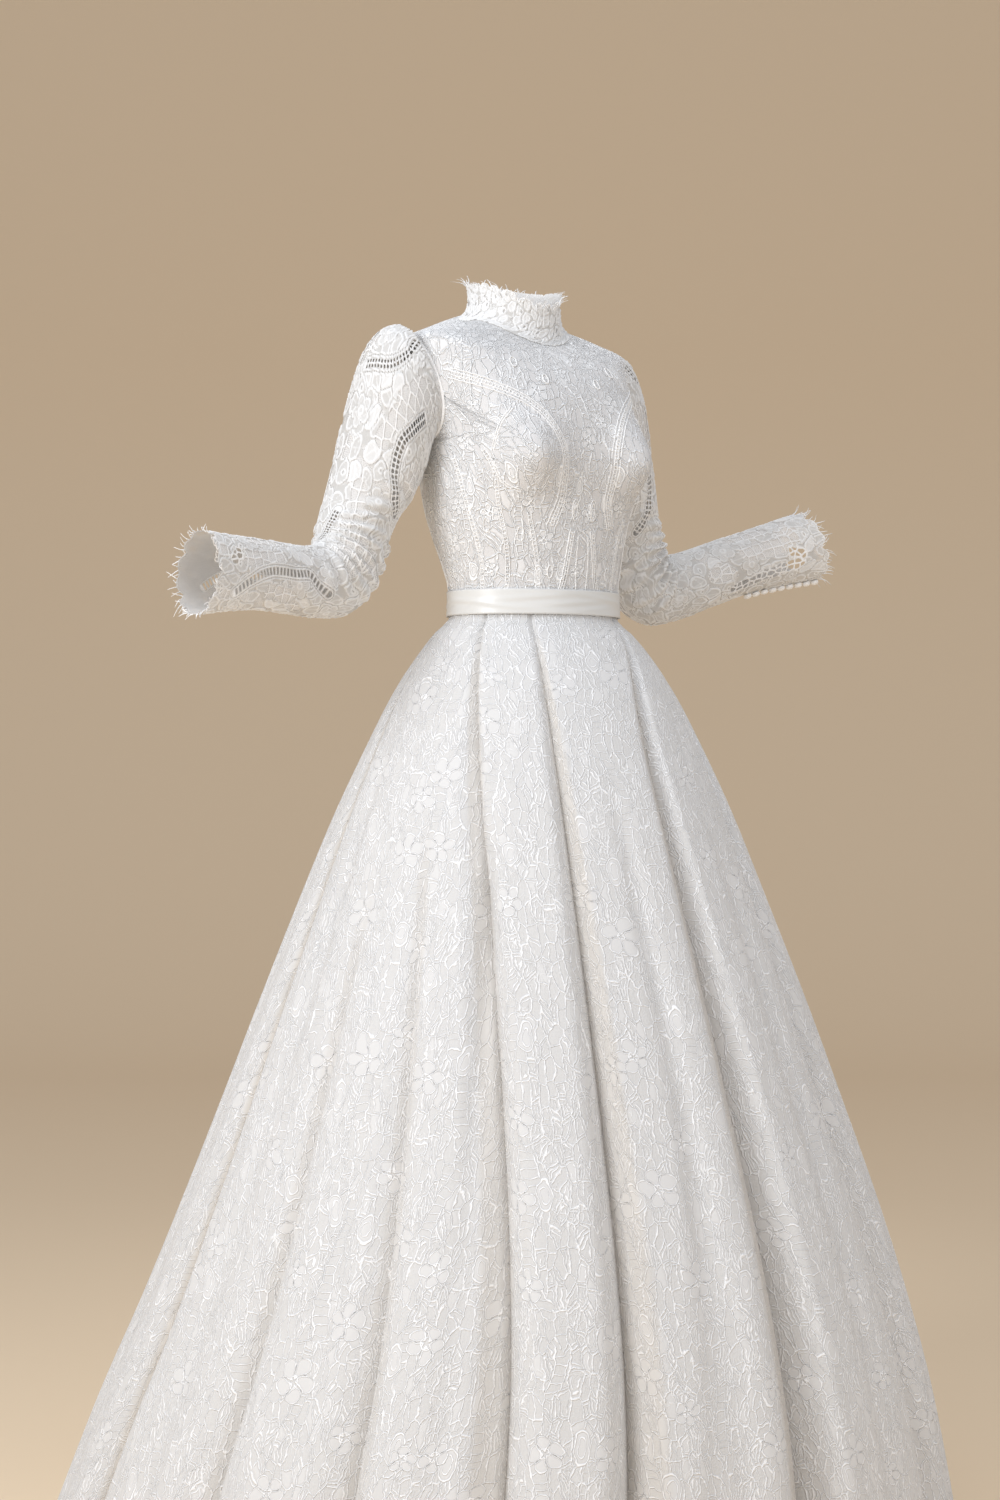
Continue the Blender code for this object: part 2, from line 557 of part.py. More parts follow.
def make_bodice(material):
    lower = [0.0, 1.0, 2.0, 3.0, 4.0, 4.7, 5.3, 6.0]
    armhole = [6.3, 6.6, 6.9, PRINCESS_TOP_LEVEL, 7.8, 8.3, 8.7, 8.94]
    top = [9.5, 10.2, NECK_LEVEL]

    def front_edge(level):
        return princess_angle(level) if level <= PRINCESS_TOP_LEVEL else armhole_edge(level)

    bodice_panel("bodice_front", lower + armhole + top, lambda lv: -front_edge(lv), front_edge, 12, material)
    side_levels = lower + armhole[:4]
    bodice_panel("bodice_side_front_L", side_levels, princess_angle, side_edge, 5, material)
    bodice_panel("bodice_side_front_R", side_levels, lambda lv: -side_edge(lv), lambda lv: -princess_angle(lv), 5, material)

    def back_edge(level):
        return side_edge(level) if level <= UNDERARM_LEVEL else armhole_edge(level, towards_back=True)

    bodice_panel("bodice_back_L", lower + armhole + top, back_edge, lambda lv: CENTRE_BACK, 6, material)
    bodice_panel("bodice_back_R", lower + armhole + top, lambda lv: -CENTRE_BACK, lambda lv: -back_edge(lv), 6, material)


def make_collar(material):
    places = [[(angle, rise) for angle in spread(-CENTRE_BACK, CENTRE_BACK, 4 * COLLAR_SCALLOPS)] for rise in (0, 1.5, 3)]
    outer, inner = two_faces(collar_surface, places, LACE_OVER_LINING, collar_middle)
    part_edges(outer, inner)
    return cloth_wall("collar", outer, inner, material)


def collar_middle(angle, rise):
    return Vector((0, 0.01, collar_surface(angle, rise).z))


def make_belt(material):
    heights = (BELT_TOP_Z, WAIST_SEAM_Z + 0.0005, WAIST_SEAM_Z - 0.0005, BELT_TOP_Z - BELT_WIDTH)
    places = [[(angle, z) for angle in spread(-CENTRE_BACK, CENTRE_BACK, 48)] for z in heights]
    outer, inner = two_faces(belt_surface, places, RIBBON, lambda angle, z: Vector((0, -0.032, z)), lift=BELT_LIFT)
    part_edges(outer, inner)
    return cloth_wall("belt", outer, inner, material)


def skirt_columns(first_fold, last_fold):
    """Column makers from one fold's valley to another's, each a function from drop to angle."""
    names = [fold[0] for fold in FOLDS]
    first, last = names.index(first_fold), names.index(last_fold)
    last = last if last > first else last + len(FOLDS)
    makers = []
    for index in range(first, last):
        fold, following = FOLDS[index % len(FOLDS)], FOLDS[(index + 1) % len(FOLDS)]
        turns, next_turns = index // len(FOLDS), (index + 1) // len(FOLDS)
        stations = [(0, 0.0)] if index == first else []
        stations += [(0, s) for s in FOLD_STATIONS if s > 0] + [(1, s) for s in FOLD_STATIONS if s < 0]
        stations += [(1, 0.0)] if index == last - 1 else []
        makers += [
            (lambda drop, a=fold, b=following, i=turns, j=next_turns, st=station: valley_angle(a, b, i, j, st, drop))
            for station in stations
        ]
    return makers


def valley_angle(fold, following, turns, next_turns, station, drop):
    """The angle of a station in the valley before or after a ridge. Two valleys that would meet share the ridge."""
    half_width, y_front, y_middle, y_back = skirt_section(drop)
    radius = (half_width + (y_back - y_front) / 2) / 2
    start = fold_angle(fold, drop) + 360 * turns
    end = fold_angle(following, drop) + 360 * next_turns
    reach = math.degrees(fold_widths(fold, drop)[1] / radius)
    next_reach = math.degrees(fold_widths(following, drop)[0] / radius)
    squeeze = min(1.0, 0.92 * (end - start) / (reach + next_reach))
    which, share = station
    return start + share * reach * squeeze if which == 0 else end + share * next_reach * squeeze


def skirt_panel(name, first_fold, last_fold, material):
    makers = skirt_columns(first_fold, last_fold)
    places = [[(maker(drop), drop) for maker in makers] for drop in SKIRT_ROWS]
    outer, inner = two_faces(
        skirt_surface, places, SKIRT_CLOTH, lambda angle, drop: Vector((0, 0, WAIST_SEAM_Z - drop - 0.2))
    )
    part_edges(outer, inner)
    return cloth_wall(name, outer, inner, material)


def make_skirt(material):
    for name, first_fold, last_fold in SKIRT_PANELS:
        skirt_panel(name, first_fold, last_fold, material)


def sleeve_middle(side):
    def middle(around, ring):
        over, under, _ = smooth_ring(max(ring, 0.0))
        point = lifted((over + under) / 2, ring, side)
        return Vector((-point.x, point.y, point.z)) if side == "R" else point

    return middle


def gap_cells(half, angles, rings):
    """Grid cells of one sleeve half that a band of open lace work cuts through."""
    cells = {}
    for _, band_half, first_ring, last_ring, start, middle, end, across, wide, long in LACE_GAPS:
        if band_half != half:
            continue
        for row in range(len(rings) - 1):
            ring = (rings[row] + rings[row + 1]) / 2
            if not first_ring <= ring <= last_ring:
                continue
            run = (ring - first_ring) / (last_ring - first_ring)
            centre = start * (1 - run) * (1 - 2 * run) + middle * 4 * run * (1 - run) + end * run * (2 * run - 1)
            middles = [abs((a + b) / 2 - centre) for a, b in zip(angles, angles[1:])]
            for column in sorted(range(len(middles)), key=middles.__getitem__)[:across]:
                cells[row, column] = (wide, long)
    return cells


def make_sleeve(side, material):
    """Makes both halves and returns their outer skins, which the buttons lie on."""
    def surface(around, ring):
        return sleeve_surface(side, around, ring)

    skins = []

    for half, start, end in (("front", 0.0, 180.0), ("back", 180.0, 360.0)):
        angles = spread(start, end, SLEEVE_COLUMNS)
        places = [[(around, ring) for around in angles] for ring in SLEEVE_ROWS]
        outer, inner = two_faces(surface, places, SLEEVE_LACE, sleeve_middle(side))
        part_edges(outer, inner)
        piece = cloth_wall(f"sleeve_{side}_{half}", outer, inner, material, gap_cells(half, angles, SLEEVE_ROWS))
        points = [vertex.co for vertex in piece.data.vertices]
        skins.append(BVHTree.FromPolygons(points, [tuple(face.vertices) for face in piece.data.polygons]))
    return skins


def seat_height(skins, foot, normal, radius):
    """How far the faceted cloth reaches above or below the foot, at its highest under the button."""
    aside = normal.orthogonal().normalized()
    across = normal.cross(aside)
    heights = []
    for step in range(BUTTON_SIDES):
        turn = 2 * math.pi * step / BUTTON_SIDES
        for reach in (0.0, radius / 2, radius):
            start = foot + (aside * math.cos(turn) + across * math.sin(turn)) * reach + normal * 0.01
            hits = [skin.ray_cast(start, -normal, 0.03)[0] for skin in skins]
            heights += [(hit - foot).dot(normal) for hit in hits if hit]
    return max(heights)


def make_buttons(side, skins, material):
    """Covered buttons, each a low dome on the outside of the sleeve."""
    ring, count = CUFF_RING, 0
    walked, wanted = 0.0, FIRST_BUTTON_FROM_CUFF
    step = 0.01
    around = BUTTON_AROUND[side]

    def surface(first, second):
        return sleeve_surface(side, first, second)

    while count < BUTTON_COUNT:
        before = surface(around, ring)
        ring -= step
        walked += (surface(around, ring) - before).length
        if walked < wanted:
            continue
        count += 1
        wanted += BUTTON_SPACING
        normal = normal_of(surface, around, ring, sleeve_middle(side)(around, ring))
        foot = surface(around, ring)
        seat = foot + normal * (seat_height(skins, foot, normal, BUTTON_RADIUS) + SEAM_GAP)
        mesh = bmesh.new()
        rings = []
        for share, height in ((0.72, 0.0), (1.0, 0.38), (0.66, 0.84)):
            circle = [
                (BUTTON_RADIUS * share * math.cos(k), BUTTON_RADIUS * share * math.sin(k), BUTTON_HEIGHT * height)
                for k in (2 * math.pi * i / BUTTON_SIDES for i in range(BUTTON_SIDES))
            ]
            rings.append([mesh.verts.new(point) for point in circle])
        mesh.faces.new(rings[0])
        for low, high in zip(rings, rings[1:]):
            for i in range(BUTTON_SIDES):
                j = (i + 1) % BUTTON_SIDES
                mesh.faces.new((low[i], low[j], high[j], high[i]))
        crown = mesh.verts.new((0, 0, BUTTON_HEIGHT))
        for i in range(BUTTON_SIDES):
            mesh.faces.new((rings[-1][i], rings[-1][(i + 1) % BUTTON_SIDES], crown))
        button = finish_mesh(f"button_{side}_{count}", mesh, material)
        button.location = seat
        button.rotation_euler = normal.to_track_quat("Z", "Y").to_euler()


def edging(name, edge_point, lashes, material, closed):
    """A narrow strip with lashes. edge_point(share) gives the strip's foot, its outward normal and its rise."""
    mesh = bmesh.new()
    stations = []
    for lash in range(lashes):
        stations += [(lash + 0.5, -1), (lash + 0.5, 1)]
    length = sum(
        (edge_point((k + 1) / 60)[0] - edge_point(k / 60)[0]).length for k in range(60)
    )
    half = LASH_WIDTH / 2 / length
    posts = []
    for at, sign in stations:
        foot, normal, rise = edge_point(at / lashes + sign * half)
        inside = foot - normal * STRIP_THICKNESS
        corners = [foot, inside, inside + rise * STRIP_HEIGHT, foot + rise * STRIP_HEIGHT]
        posts.append([mesh.verts.new(corner) for corner in corners])
    pairs = list(zip(range(len(posts)), list(range(1, len(posts))) + [0]))
    if not closed:
        pairs = pairs[:-1]
        mesh.faces.new(posts[0])
        mesh.faces.new(posts[-1])
    for index, (first, second) in enumerate(pairs):
        a, b = posts[first], posts[second]
        for k in range(4):
            if k == 2 and index % 2 == 0:
                continue
            mesh.faces.new((a[k], a[(k + 1) % 4], b[(k + 1) % 4], b[k]))
        if index % 2 == 0:
            lash = index // 2
            foot, normal, rise = edge_point((lash + 0.5) / lashes)
            lean = 0.35 + 0.25 * math.sin(lash * 2.4)
            height = LASH_LENGTH * (0.8 + 0.2 * math.cos(lash * 1.7))
            tip = mesh.verts.new(foot + rise * height + normal * height * lean)
            for u, v in ((a[2], b[2]), (b[2], b[3]), (b[3], a[3]), (a[3], a[2])):
                mesh.faces.new((u, v, tip))
    return finish_mesh(name, mesh, material)


def make_edgings(material):
    def collar_edge(share):
        angle = -CENTRE_BACK + 360 * (0.002 + 0.996 * share)
        foot = collar_surface(angle, 3.0)
        normal = normal_of(collar_surface, angle, 2.99, collar_middle(angle, 2.99))
        rise = (foot - collar_surface(angle, 2.6)).normalized()
        return foot + rise * SEAM_GAP * 2 - normal * 0.0002, normal, rise

    edging("edging_collar", collar_edge, COLLAR_LASHES, material, closed=False)
    for side in ("L", "R"):
        def cuff_edge(share, side=side):
            around = 360 * share
            foot = sleeve_surface(side, around, CUFF_RING)
            run = (foot - sleeve_surface(side, around, CUFF_RING - 0.3)).normalized()
            middle = sleeve_middle(side)(around, CUFF_RING)
            outward = foot - middle
            outward -= run * outward.dot(run)
            return foot + run * SEAM_GAP * 2 - outward.normalized() * 0.0001, outward.normalized(), run

        edging(f"edging_cuff_{side}", cuff_edge, CUFF_LASHES, material, closed=True)


def material_of(name):
    colour, roughness = COLOURS[name]
    material = bpy.data.materials.new(name)
    material.use_nodes = True
    shader = material.node_tree.nodes["Principled BSDF"]
    shader.inputs["Base Color"].default_value = (*colour, 1)
    shader.inputs["Roughness"].default_value = roughness
    shader.inputs["Metallic"].default_value = 0.0
    return material


def main():
    for obj in list(bpy.data.objects):
        bpy.data.objects.remove(obj)
    materials = {name: material_of(name) for name in COLOURS}
    make_bodice(materials["lace"])
    make_collar(materials["lace"])
    make_belt(materials["satin"])
    make_skirt(materials["lace"])
    for side in ("L", "R"):
        skins = make_sleeve(side, materials["sleeve_lace"])
        make_buttons(side, skins, materials["covered_button"])
    make_edgings(materials["sleeve_lace"])


if __name__ == "__main__":
    main()
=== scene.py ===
import math

import bpy
import numpy as np
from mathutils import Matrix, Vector


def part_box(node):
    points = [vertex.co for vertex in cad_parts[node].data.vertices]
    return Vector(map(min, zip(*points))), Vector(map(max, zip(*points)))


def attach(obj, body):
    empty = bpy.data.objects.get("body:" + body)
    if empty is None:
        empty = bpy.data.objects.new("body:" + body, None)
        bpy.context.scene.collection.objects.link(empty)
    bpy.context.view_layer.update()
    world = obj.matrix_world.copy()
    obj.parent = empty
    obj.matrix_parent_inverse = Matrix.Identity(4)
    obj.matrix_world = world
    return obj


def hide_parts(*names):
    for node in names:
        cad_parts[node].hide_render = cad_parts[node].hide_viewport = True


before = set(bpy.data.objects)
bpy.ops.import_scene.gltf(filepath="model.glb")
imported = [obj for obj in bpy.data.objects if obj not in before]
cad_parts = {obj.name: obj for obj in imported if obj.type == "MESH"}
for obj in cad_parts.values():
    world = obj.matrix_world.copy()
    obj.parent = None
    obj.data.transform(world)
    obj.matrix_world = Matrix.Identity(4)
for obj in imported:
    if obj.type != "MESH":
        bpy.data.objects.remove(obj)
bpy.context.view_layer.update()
print("frame loaded")


# Small tools

def toLinear(hexColour):
    parts = [int(hexColour[i:i + 2], 16) / 255 for i in (1, 3, 5)]
    return tuple(c / 12.92 if c <= 0.04045 else ((c + 0.055) / 1.055) ** 2.4 for c in parts) + (1.0,)


def plug(tree, node, sockets):
    # links each socket to another node's output, or sets its value
    for socket, value in sockets.items():
        if isinstance(value, bpy.types.NodeSocket):
            tree.links.new(value, node.inputs[socket])
        else:
            node.inputs[socket].default_value = value


# the setting that the word after a node's name chooses, as in Math:ADD
chosenBy = {
    "Math": "operation", "VectorMath": "operation", "MapRange": "interpolation_type",
    "Mix": "data_type", "TexVoronoi": "feature", "TexNoise": "noise_dimensions",
}


def addNode(tree, kind, *values, out=0, **settings):
    # adds one node and gives back one of its outputs, or the node itself where out is None
    # its sockets come in their order, or by name in a dictionary
    name, _, choice = kind.partition(":")
    made = tree.nodes.new("ShaderNode" + name)
    if choice:
        setattr(made, chosenBy[name], choice)
    for setting, value in settings.items():
        setattr(made, setting, value)
    plug(tree, made, values[0] if values and isinstance(values[0], dict) else dict(enumerate(values)))
    return made if out is None else made.outputs[out]


def newMaterial(name):
    material = bpy.data.materials.new(name)
    material.use_nodes = True
    return material, material.node_tree, material.node_tree.nodes["Principled BSDF"]


def bell(distance):
    # 1 at the middle and falling softly to 0 at a distance of 1
    return np.where(np.abs(distance) >= 1, 0.0, 0.5 + 0.5 * np.cos(np.pi * np.clip(distance, -1, 1)))


def ease(share):
    # from 0 to 1 with a soft start and end
    share = np.clip(share, 0, 1)
    return share * share * (3 - 2 * share)


def curveThrough(keys, values, at):
    # a smooth curve through the rows of a table, which never overshoots between two rows
    keys, values = np.asarray(keys, float), np.asarray(values, float)
    at = np.clip(np.asarray(at, float), keys[0], keys[-1])
    row = np.clip(np.searchsorted(keys, at, side="right") - 1, 0, len(keys) - 2)
    steps = np.diff(keys)
    slopes = np.diff(values) / steps
    before, after = slopes[:-1], slopes[1:]
    both = np.where(before + after == 0, 1, before + after)
    middle = np.where(before * after > 0, 2 * before * after / both, 0)
    tangents = np.concatenate([slopes[:1], middle, slopes[-1:]])
    span = steps[row]
    share = (at - keys[row]) / span
    square, cube = share ** 2, share ** 3
    return ((2 * cube - 3 * square + 1) * values[row] + (cube - 2 * square + share) * span * tangents[row]
            + (3 * square - 2 * cube) * values[row + 1] + (cube - square) * span * tangents[row + 1])


def sampleTable(rows, at, keys=None):
    numbers = np.array([row[1:] for row in rows], float)
    keys = np.arange(len(rows)) if keys is None else keys
    return [curveThrough(keys, numbers[:, column], at) for column in range(numbers.shape[1])]


def sectionPoint(angle, halfWidth, yFront, yMiddle, yBack, roundness):
    # angle 0 is the centre front and 90 the wearer's left
    turn = np.radians(angle)
    power = 2 / roundness
    side, ahead = np.sin(turn), np.cos(turn)
    reach = np.where(ahead > 0, yFront - yMiddle, yBack - yMiddle)
    return halfWidth * np.sign(side) * np.abs(side) ** power, yMiddle + reach * np.abs(ahead) ** power


def heightRound(angle, zFront, zSide, zBack):
    side, ahead = np.sin(np.radians(angle)) ** 2, np.cos(np.radians(angle))
    return zSide * side + np.where(ahead > 0, zFront, zBack) * (1 - side)


def normalsOf(points, outward, wrap=False):
    # unit normals of a grid of points, turned to the side of outward
    if wrap:
        across = np.roll(points, -1, axis=1) - np.roll(points, 1, axis=1)
    else:
        across = np.gradient(points, axis=1)
    along = np.gradient(points, axis=0)
    normals = np.cross(across, along)
    normals /= np.maximum(np.linalg.norm(normals, axis=2, keepdims=True), 1e-12)
    flip = np.sign(np.sum(normals * outward, axis=2, keepdims=True))
    return normals * np.where(flip == 0, 1, flip)


def meshPiece(name, points, faces, uv, material, nodes=(), cornerUv=False, paintedLightAndShade=None):
    # uv is one place in metres on the cloth laid flat, for each point or for each face's corner
    mesh = bpy.data.meshes.new(name)
    mesh.from_pydata(points, [], faces)
    layer = mesh.uv_layers.new(name="cloth")
    uv = np.asarray(uv, np.float32)
    if not cornerUv:
        loops = np.empty(len(mesh.loops), np.int32)
        mesh.loops.foreach_get("vertex_index", loops)
        uv = uv[loops]
    layer.data.foreach_set("uv", uv.ravel())
    # the value that sets painted light and shade in the lace materials: the relief height on the open lace,
    # and the painted shade band beside the skirt's folds
    if paintedLightAndShade is not None:
        heights = mesh.attributes.new("paintedLightAndShade", "FLOAT", "POINT")
        heights.data.foreach_set("value", np.asarray(paintedLightAndShade, np.float32))
    mesh.shade_smooth()
    mesh.materials.append(material)
    piece = bpy.data.objects.new(name, mesh)
    bpy.context.scene.collection.objects.link(piece)
    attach(piece, "root")
    for node in nodes:
        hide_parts(node)
    return piece


def gridPiece(name, points, uv, material, outward, nodes=(), paintedLightAndShade=None):
    # a sheet through a grid of points, with uv for each point or for each corner of its faces
    rows, columns = points.shape[:2]
    index = np.arange(rows * columns).reshape(rows, columns)
    quads = np.stack([index[:-1, :-1], index[:-1, 1:], index[1:, 1:], index[1:, :-1]], axis=2).reshape(-1, 4)
    corner = points.reshape(-1, 3)[quads[len(quads) // 2]]
    facing = np.cross(corner[1] - corner[0], corner[3] - corner[0])
    if uv.ndim == 3:
        uv = uv.reshape(-1, 2)[quads].reshape(rows - 1, columns - 1, 4, 2)
    uv = uv.reshape(-1, 4, 2)
    if facing @ outward.reshape(-1, 3)[quads[len(quads) // 2][0]] < 0:
        quads, uv = quads[:, ::-1], uv[:, ::-1]
    return meshPiece(name, points.reshape(-1, 3), quads.tolist(), uv.reshape(-1, 2), material, nodes,
                     cornerUv=True, paintedLightAndShade=paintedLightAndShade)


def unit(ways):
    return ways / np.linalg.norm(ways, axis=-1, keepdims=True)


def walkAlong(path):
    # how far along its path each point lies
    return np.concatenate([[0], np.cumsum(np.linalg.norm(np.diff(path, axis=0), axis=1))])


def arcAlong(points, axis):
    # how far along the surface each point of a grid lies, from its first column or row
    steps = np.linalg.norm(np.diff(points, axis=axis), axis=2)
    total = np.zeros(points.shape[:2])
    if axis == 1:
        total[:, 1:] = np.cumsum(steps, axis=1)
    else:
        total[1:, :] = np.cumsum(steps, axis=0)
    return total


# Body of the dress: the same sections as the solids, in metres

bodice = {
    # level         zFront  zSide   zBack   halfWidth yFront yMiddle yBack roundness
    "levels": [
        ("waistSeam", -0.335, -0.335, -0.335, 0.1180, -0.1210, -0.0320, 0.0620, 2.10),
        ("waist", -0.312, -0.312, -0.312, 0.1182, -0.1215, -0.0315, 0.0635, 2.10),
        ("aboveWaist", -0.282, -0.282, -0.282, 0.1225, -0.1240, -0.0300, 0.0770, 2.12),
        ("ribs", -0.245, -0.245, -0.245, 0.1305, -0.1265, -0.0270, 0.0930, 2.15),
        ("underBust", -0.206, -0.206, -0.206, 0.1380, -0.1280, -0.0230, 0.1030, 2.20),
        ("bust", -0.162, -0.164, -0.162, 0.1415, -0.1300, -0.0150, 0.1080, 2.25),
        ("underarm", -0.122, -0.129, -0.122, 0.1440, -0.1270, -0.0060, 0.1120, 2.30),
        ("chest", -0.084, -0.085, -0.078, 0.1505, -0.1190, 0.0000, 0.1120, 2.40),
        ("upperChest", -0.052, -0.040, -0.034, 0.1590, -0.1045, 0.0040, 0.1080, 2.40),
        ("shoulderPoint", -0.026, 0.002, 0.014, 0.1640, -0.0850, 0.0060, 0.0980, 2.30),
        ("midShoulder", -0.008, 0.0215, 0.048, 0.1160, -0.0680, 0.0060, 0.0850, 2.15),
        ("neckSeam", 0.004, 0.034, 0.060, 0.0665, -0.0530, 0.0080, 0.0720, 2.00),
    ],
    # levels are counted in rows of that table, from the waist seam
    "cupDepth": 0.040, "cupAngle": 37.0, "cupSpread": 23.0,
    "cupZ": -0.150, "cupBelow": 0.046, "cupAbove": 0.058,
    "armholeAngle": 98.0, "armholeHalfAngle": 20.5, "armholeMiddle": 7.5, "armholeHalfLevels": 1.5,
    "princess": [(0, 23), (2, 25), (3, 28), (4, 32), (5, 37), (6, 46), (6.6, 58), (7.2, 76.6)],
    "princessTop": 7.2, "sideSeam": 92.0, "underarm": 6.0, "shoulderPoint": 9.0, "neck": 11.0,
    "cell": 0.0040, "stepAngle": 60.0, "seamRoll": 0.0018, "seamDepth": 0.0001, "thickness": 0.0012,
    "middle": (0.0, -0.02, -0.2),
    # soft drag lines: from x, z to x, z, width and height in metres, and whether it lies on the front
    "creases": [
        (0.020, -0.325, 0.052, -0.235, 0.010, -0.0011, True),
        (-0.018, -0.325, -0.046, -0.240, 0.011, -0.0011, True),
        (0.080, -0.318, 0.100, -0.250, 0.009, -0.0010, True),
        (-0.085, -0.318, -0.102, -0.245, 0.009, -0.0010, True),
        (0.055, -0.320, 0.060, -0.270, 0.007, 0.0008, True),
        (-0.060, -0.320, -0.064, -0.268, 0.007, 0.0008, True),
        (0.110, -0.105, 0.070, -0.075, 0.012, -0.0005, True),
        (-0.112, -0.105, -0.070, -0.072, 0.012, -0.0005, True),
        (0.120, -0.150, 0.085, -0.165, 0.010, -0.0004, True),
        (-0.122, -0.146, -0.088, -0.165, 0.010, -0.0004, True),
        (0.045, -0.320, 0.062, -0.230, 0.011, -0.0012, False),
        (-0.048, -0.320, -0.060, -0.226, 0.011, -0.0012, False),
        (0.118, -0.110, 0.080, -0.070, 0.013, -0.0012, False),
        (-0.116, -0.108, -0.078, -0.074, 0.013, -0.0012, False),
        (0.084, -0.318, 0.098, -0.240, 0.009, 0.0009, False),
        (-0.082, -0.318, -0.096, -0.246, 0.009, 0.0009, False),
    ],
}


def bodiceSurface(angle, level):
    zFront, zSide, zBack, halfWidth, yFront, yMiddle, yBack, roundness = sampleTable(bodice["levels"], level)
    x, y = sectionPoint(angle, halfWidth, yFront, yMiddle, yBack, roundness)
    z = heightRound(angle, zFront, zSide, zBack)
    spread = np.where(z < bodice["cupZ"], bodice["cupBelow"], bodice["cupAbove"])
    rise = np.exp(-((z - bodice["cupZ"]) / spread) ** 2)
    for cup in (-bodice["cupAngle"], bodice["cupAngle"]):
        swell = bodice["cupDepth"] * rise * np.exp(-((angle - cup) / bodice["cupSpread"]) ** 2)
        x = x + swell * 0.25 * math.sin(math.radians(cup))
        y = y - swell
    return np.stack([x, y, z], axis=-1)


def armholeHalf(level):
    share = (level - bodice["armholeMiddle"]) / bodice["armholeHalfLevels"]
    return bodice["armholeHalfAngle"] * np.sqrt(np.maximum(0, 1 - share ** 2))


def sideEdge(level):
    seam = bodice["sideSeam"] + (bodice["armholeAngle"] - bodice["sideSeam"]) * level / bodice["underarm"]
    return np.where(level <= bodice["underarm"], seam, bodice["armholeAngle"] - armholeHalf(level))


def backEdge(level):
    return np.where(level <= bodice["underarm"], sideEdge(level), bodice["armholeAngle"] + armholeHalf(level))


def princessEdge(level):
    keys = [row[0] for row in bodice["princess"]]
    return curveThrough(keys, [row[1] for row in bodice["princess"]], level)


def frontEdge(level):
    return np.where(level <= bodice["princessTop"], princessEdge(level), sideEdge(level))


def centreBackEdge(level):
    return np.full_like(level, 180.0)


def mirrored(edge):
    return lambda level: -edge(level)


def evenLevels(breaks, step):
    # levels a step apart along the side of the body, with a row at each break
    levels = []
    for low, high in zip(breaks, breaks[1:]):
        fine = np.linspace(low, high, 60)
        walked = walkAlong(bodiceSurface(np.full_like(fine, bodice["stepAngle"]), fine))
        count = max(2, round(walked[-1] / step))
        levels += list(np.interp(np.linspace(0, walked[-1], count + 1)[:-1], walked, fine))
    return np.array(levels + [breaks[-1]])


def bodicePanel(name, node, levels, firstEdge, lastEdge, material, lining):
    # columns stand closer along both side seams, where the cloth is drawn in a little by its stitches
    rows = levels[:, None]
    first, last = firstEdge(rows), lastEdge(rows)
    even = first + (last - first) * np.linspace(0, 1, 60)
    width = np.max(arcAlong(bodiceSurface(even, rows + np.zeros_like(even)), 1)[:, -1])
    roll = bodice["seamRoll"]
    inner = np.linspace(roll, width - roll, max(8, round(width / bodice["cell"])))
    stations = np.concatenate([[0, roll * 0.4], inner, [width - roll * 0.4, width]]) / width
    angles = first + (last - first) * stations[None, :]
    points = bodiceSurface(angles, rows + np.zeros_like(angles))
    normals = normalsOf(points, points - np.array(bodice["middle"]))
    fromSeam = np.minimum(stations, 1 - stations) * width
    dip = bodice["seamDepth"] * bell(fromSeam / roll)
    points = points - normals * dip[None, :, None]
    for crease in bodice["creases"]:
        points = points + normals * creaseOnBody(points, crease)[:, :, None]
    across, along = arcAlong(points, 1), arcAlong(points, 0)
    across = across - across[:, [across.shape[1] // 2]]
    piece = gridPiece(name, points, np.stack([across, along], axis=2), material, normals, [node])
    lineInside(piece, lining, bodice["thickness"])


def creaseOnBody(points, crease):
    # a soft trough or ridge between two places on the body, given by height and side
    x1, z1, x2, z2, width, height, front = crease
    x, y, z = points[:, :, 0], points[:, :, 1], points[:, :, 2]
    length = math.hypot(x2 - x1, z2 - z1)
    along = ((x - x1) * (x2 - x1) + (z - z1) * (z2 - z1)) / length
    aside = ((x - x1) * (z2 - z1) - (z - z1) * (x2 - x1)) / length
    onSide = y < 0 if front else y > 0
    return height * bell(aside / width) * bell((along - length / 2) / (length / 2)) * onSide


def lineInside(piece, lining, thickness):
    # the shell's inner side shows the lining, and its edges stay crisp
    piece.data.materials.append(lining)
    shell = piece.modifiers.new("shell", "SOLIDIFY")
    shell.thickness = thickness
    shell.offset = -1
    shell.use_rim = True
    shell.use_quality_normals = True
    shell.material_offset = 1
    shell.material_offset_rim = 0
    bpy.ops.object.select_all(action="DESELECT")
    piece.select_set(True)
    bpy.context.view_layer.objects.active = piece
    bpy.ops.object.modifier_apply(modifier="shell")
    bpy.ops.object.shade_smooth_by_angle(angle=math.radians(50))
    piece.select_set(False)


# Skirt

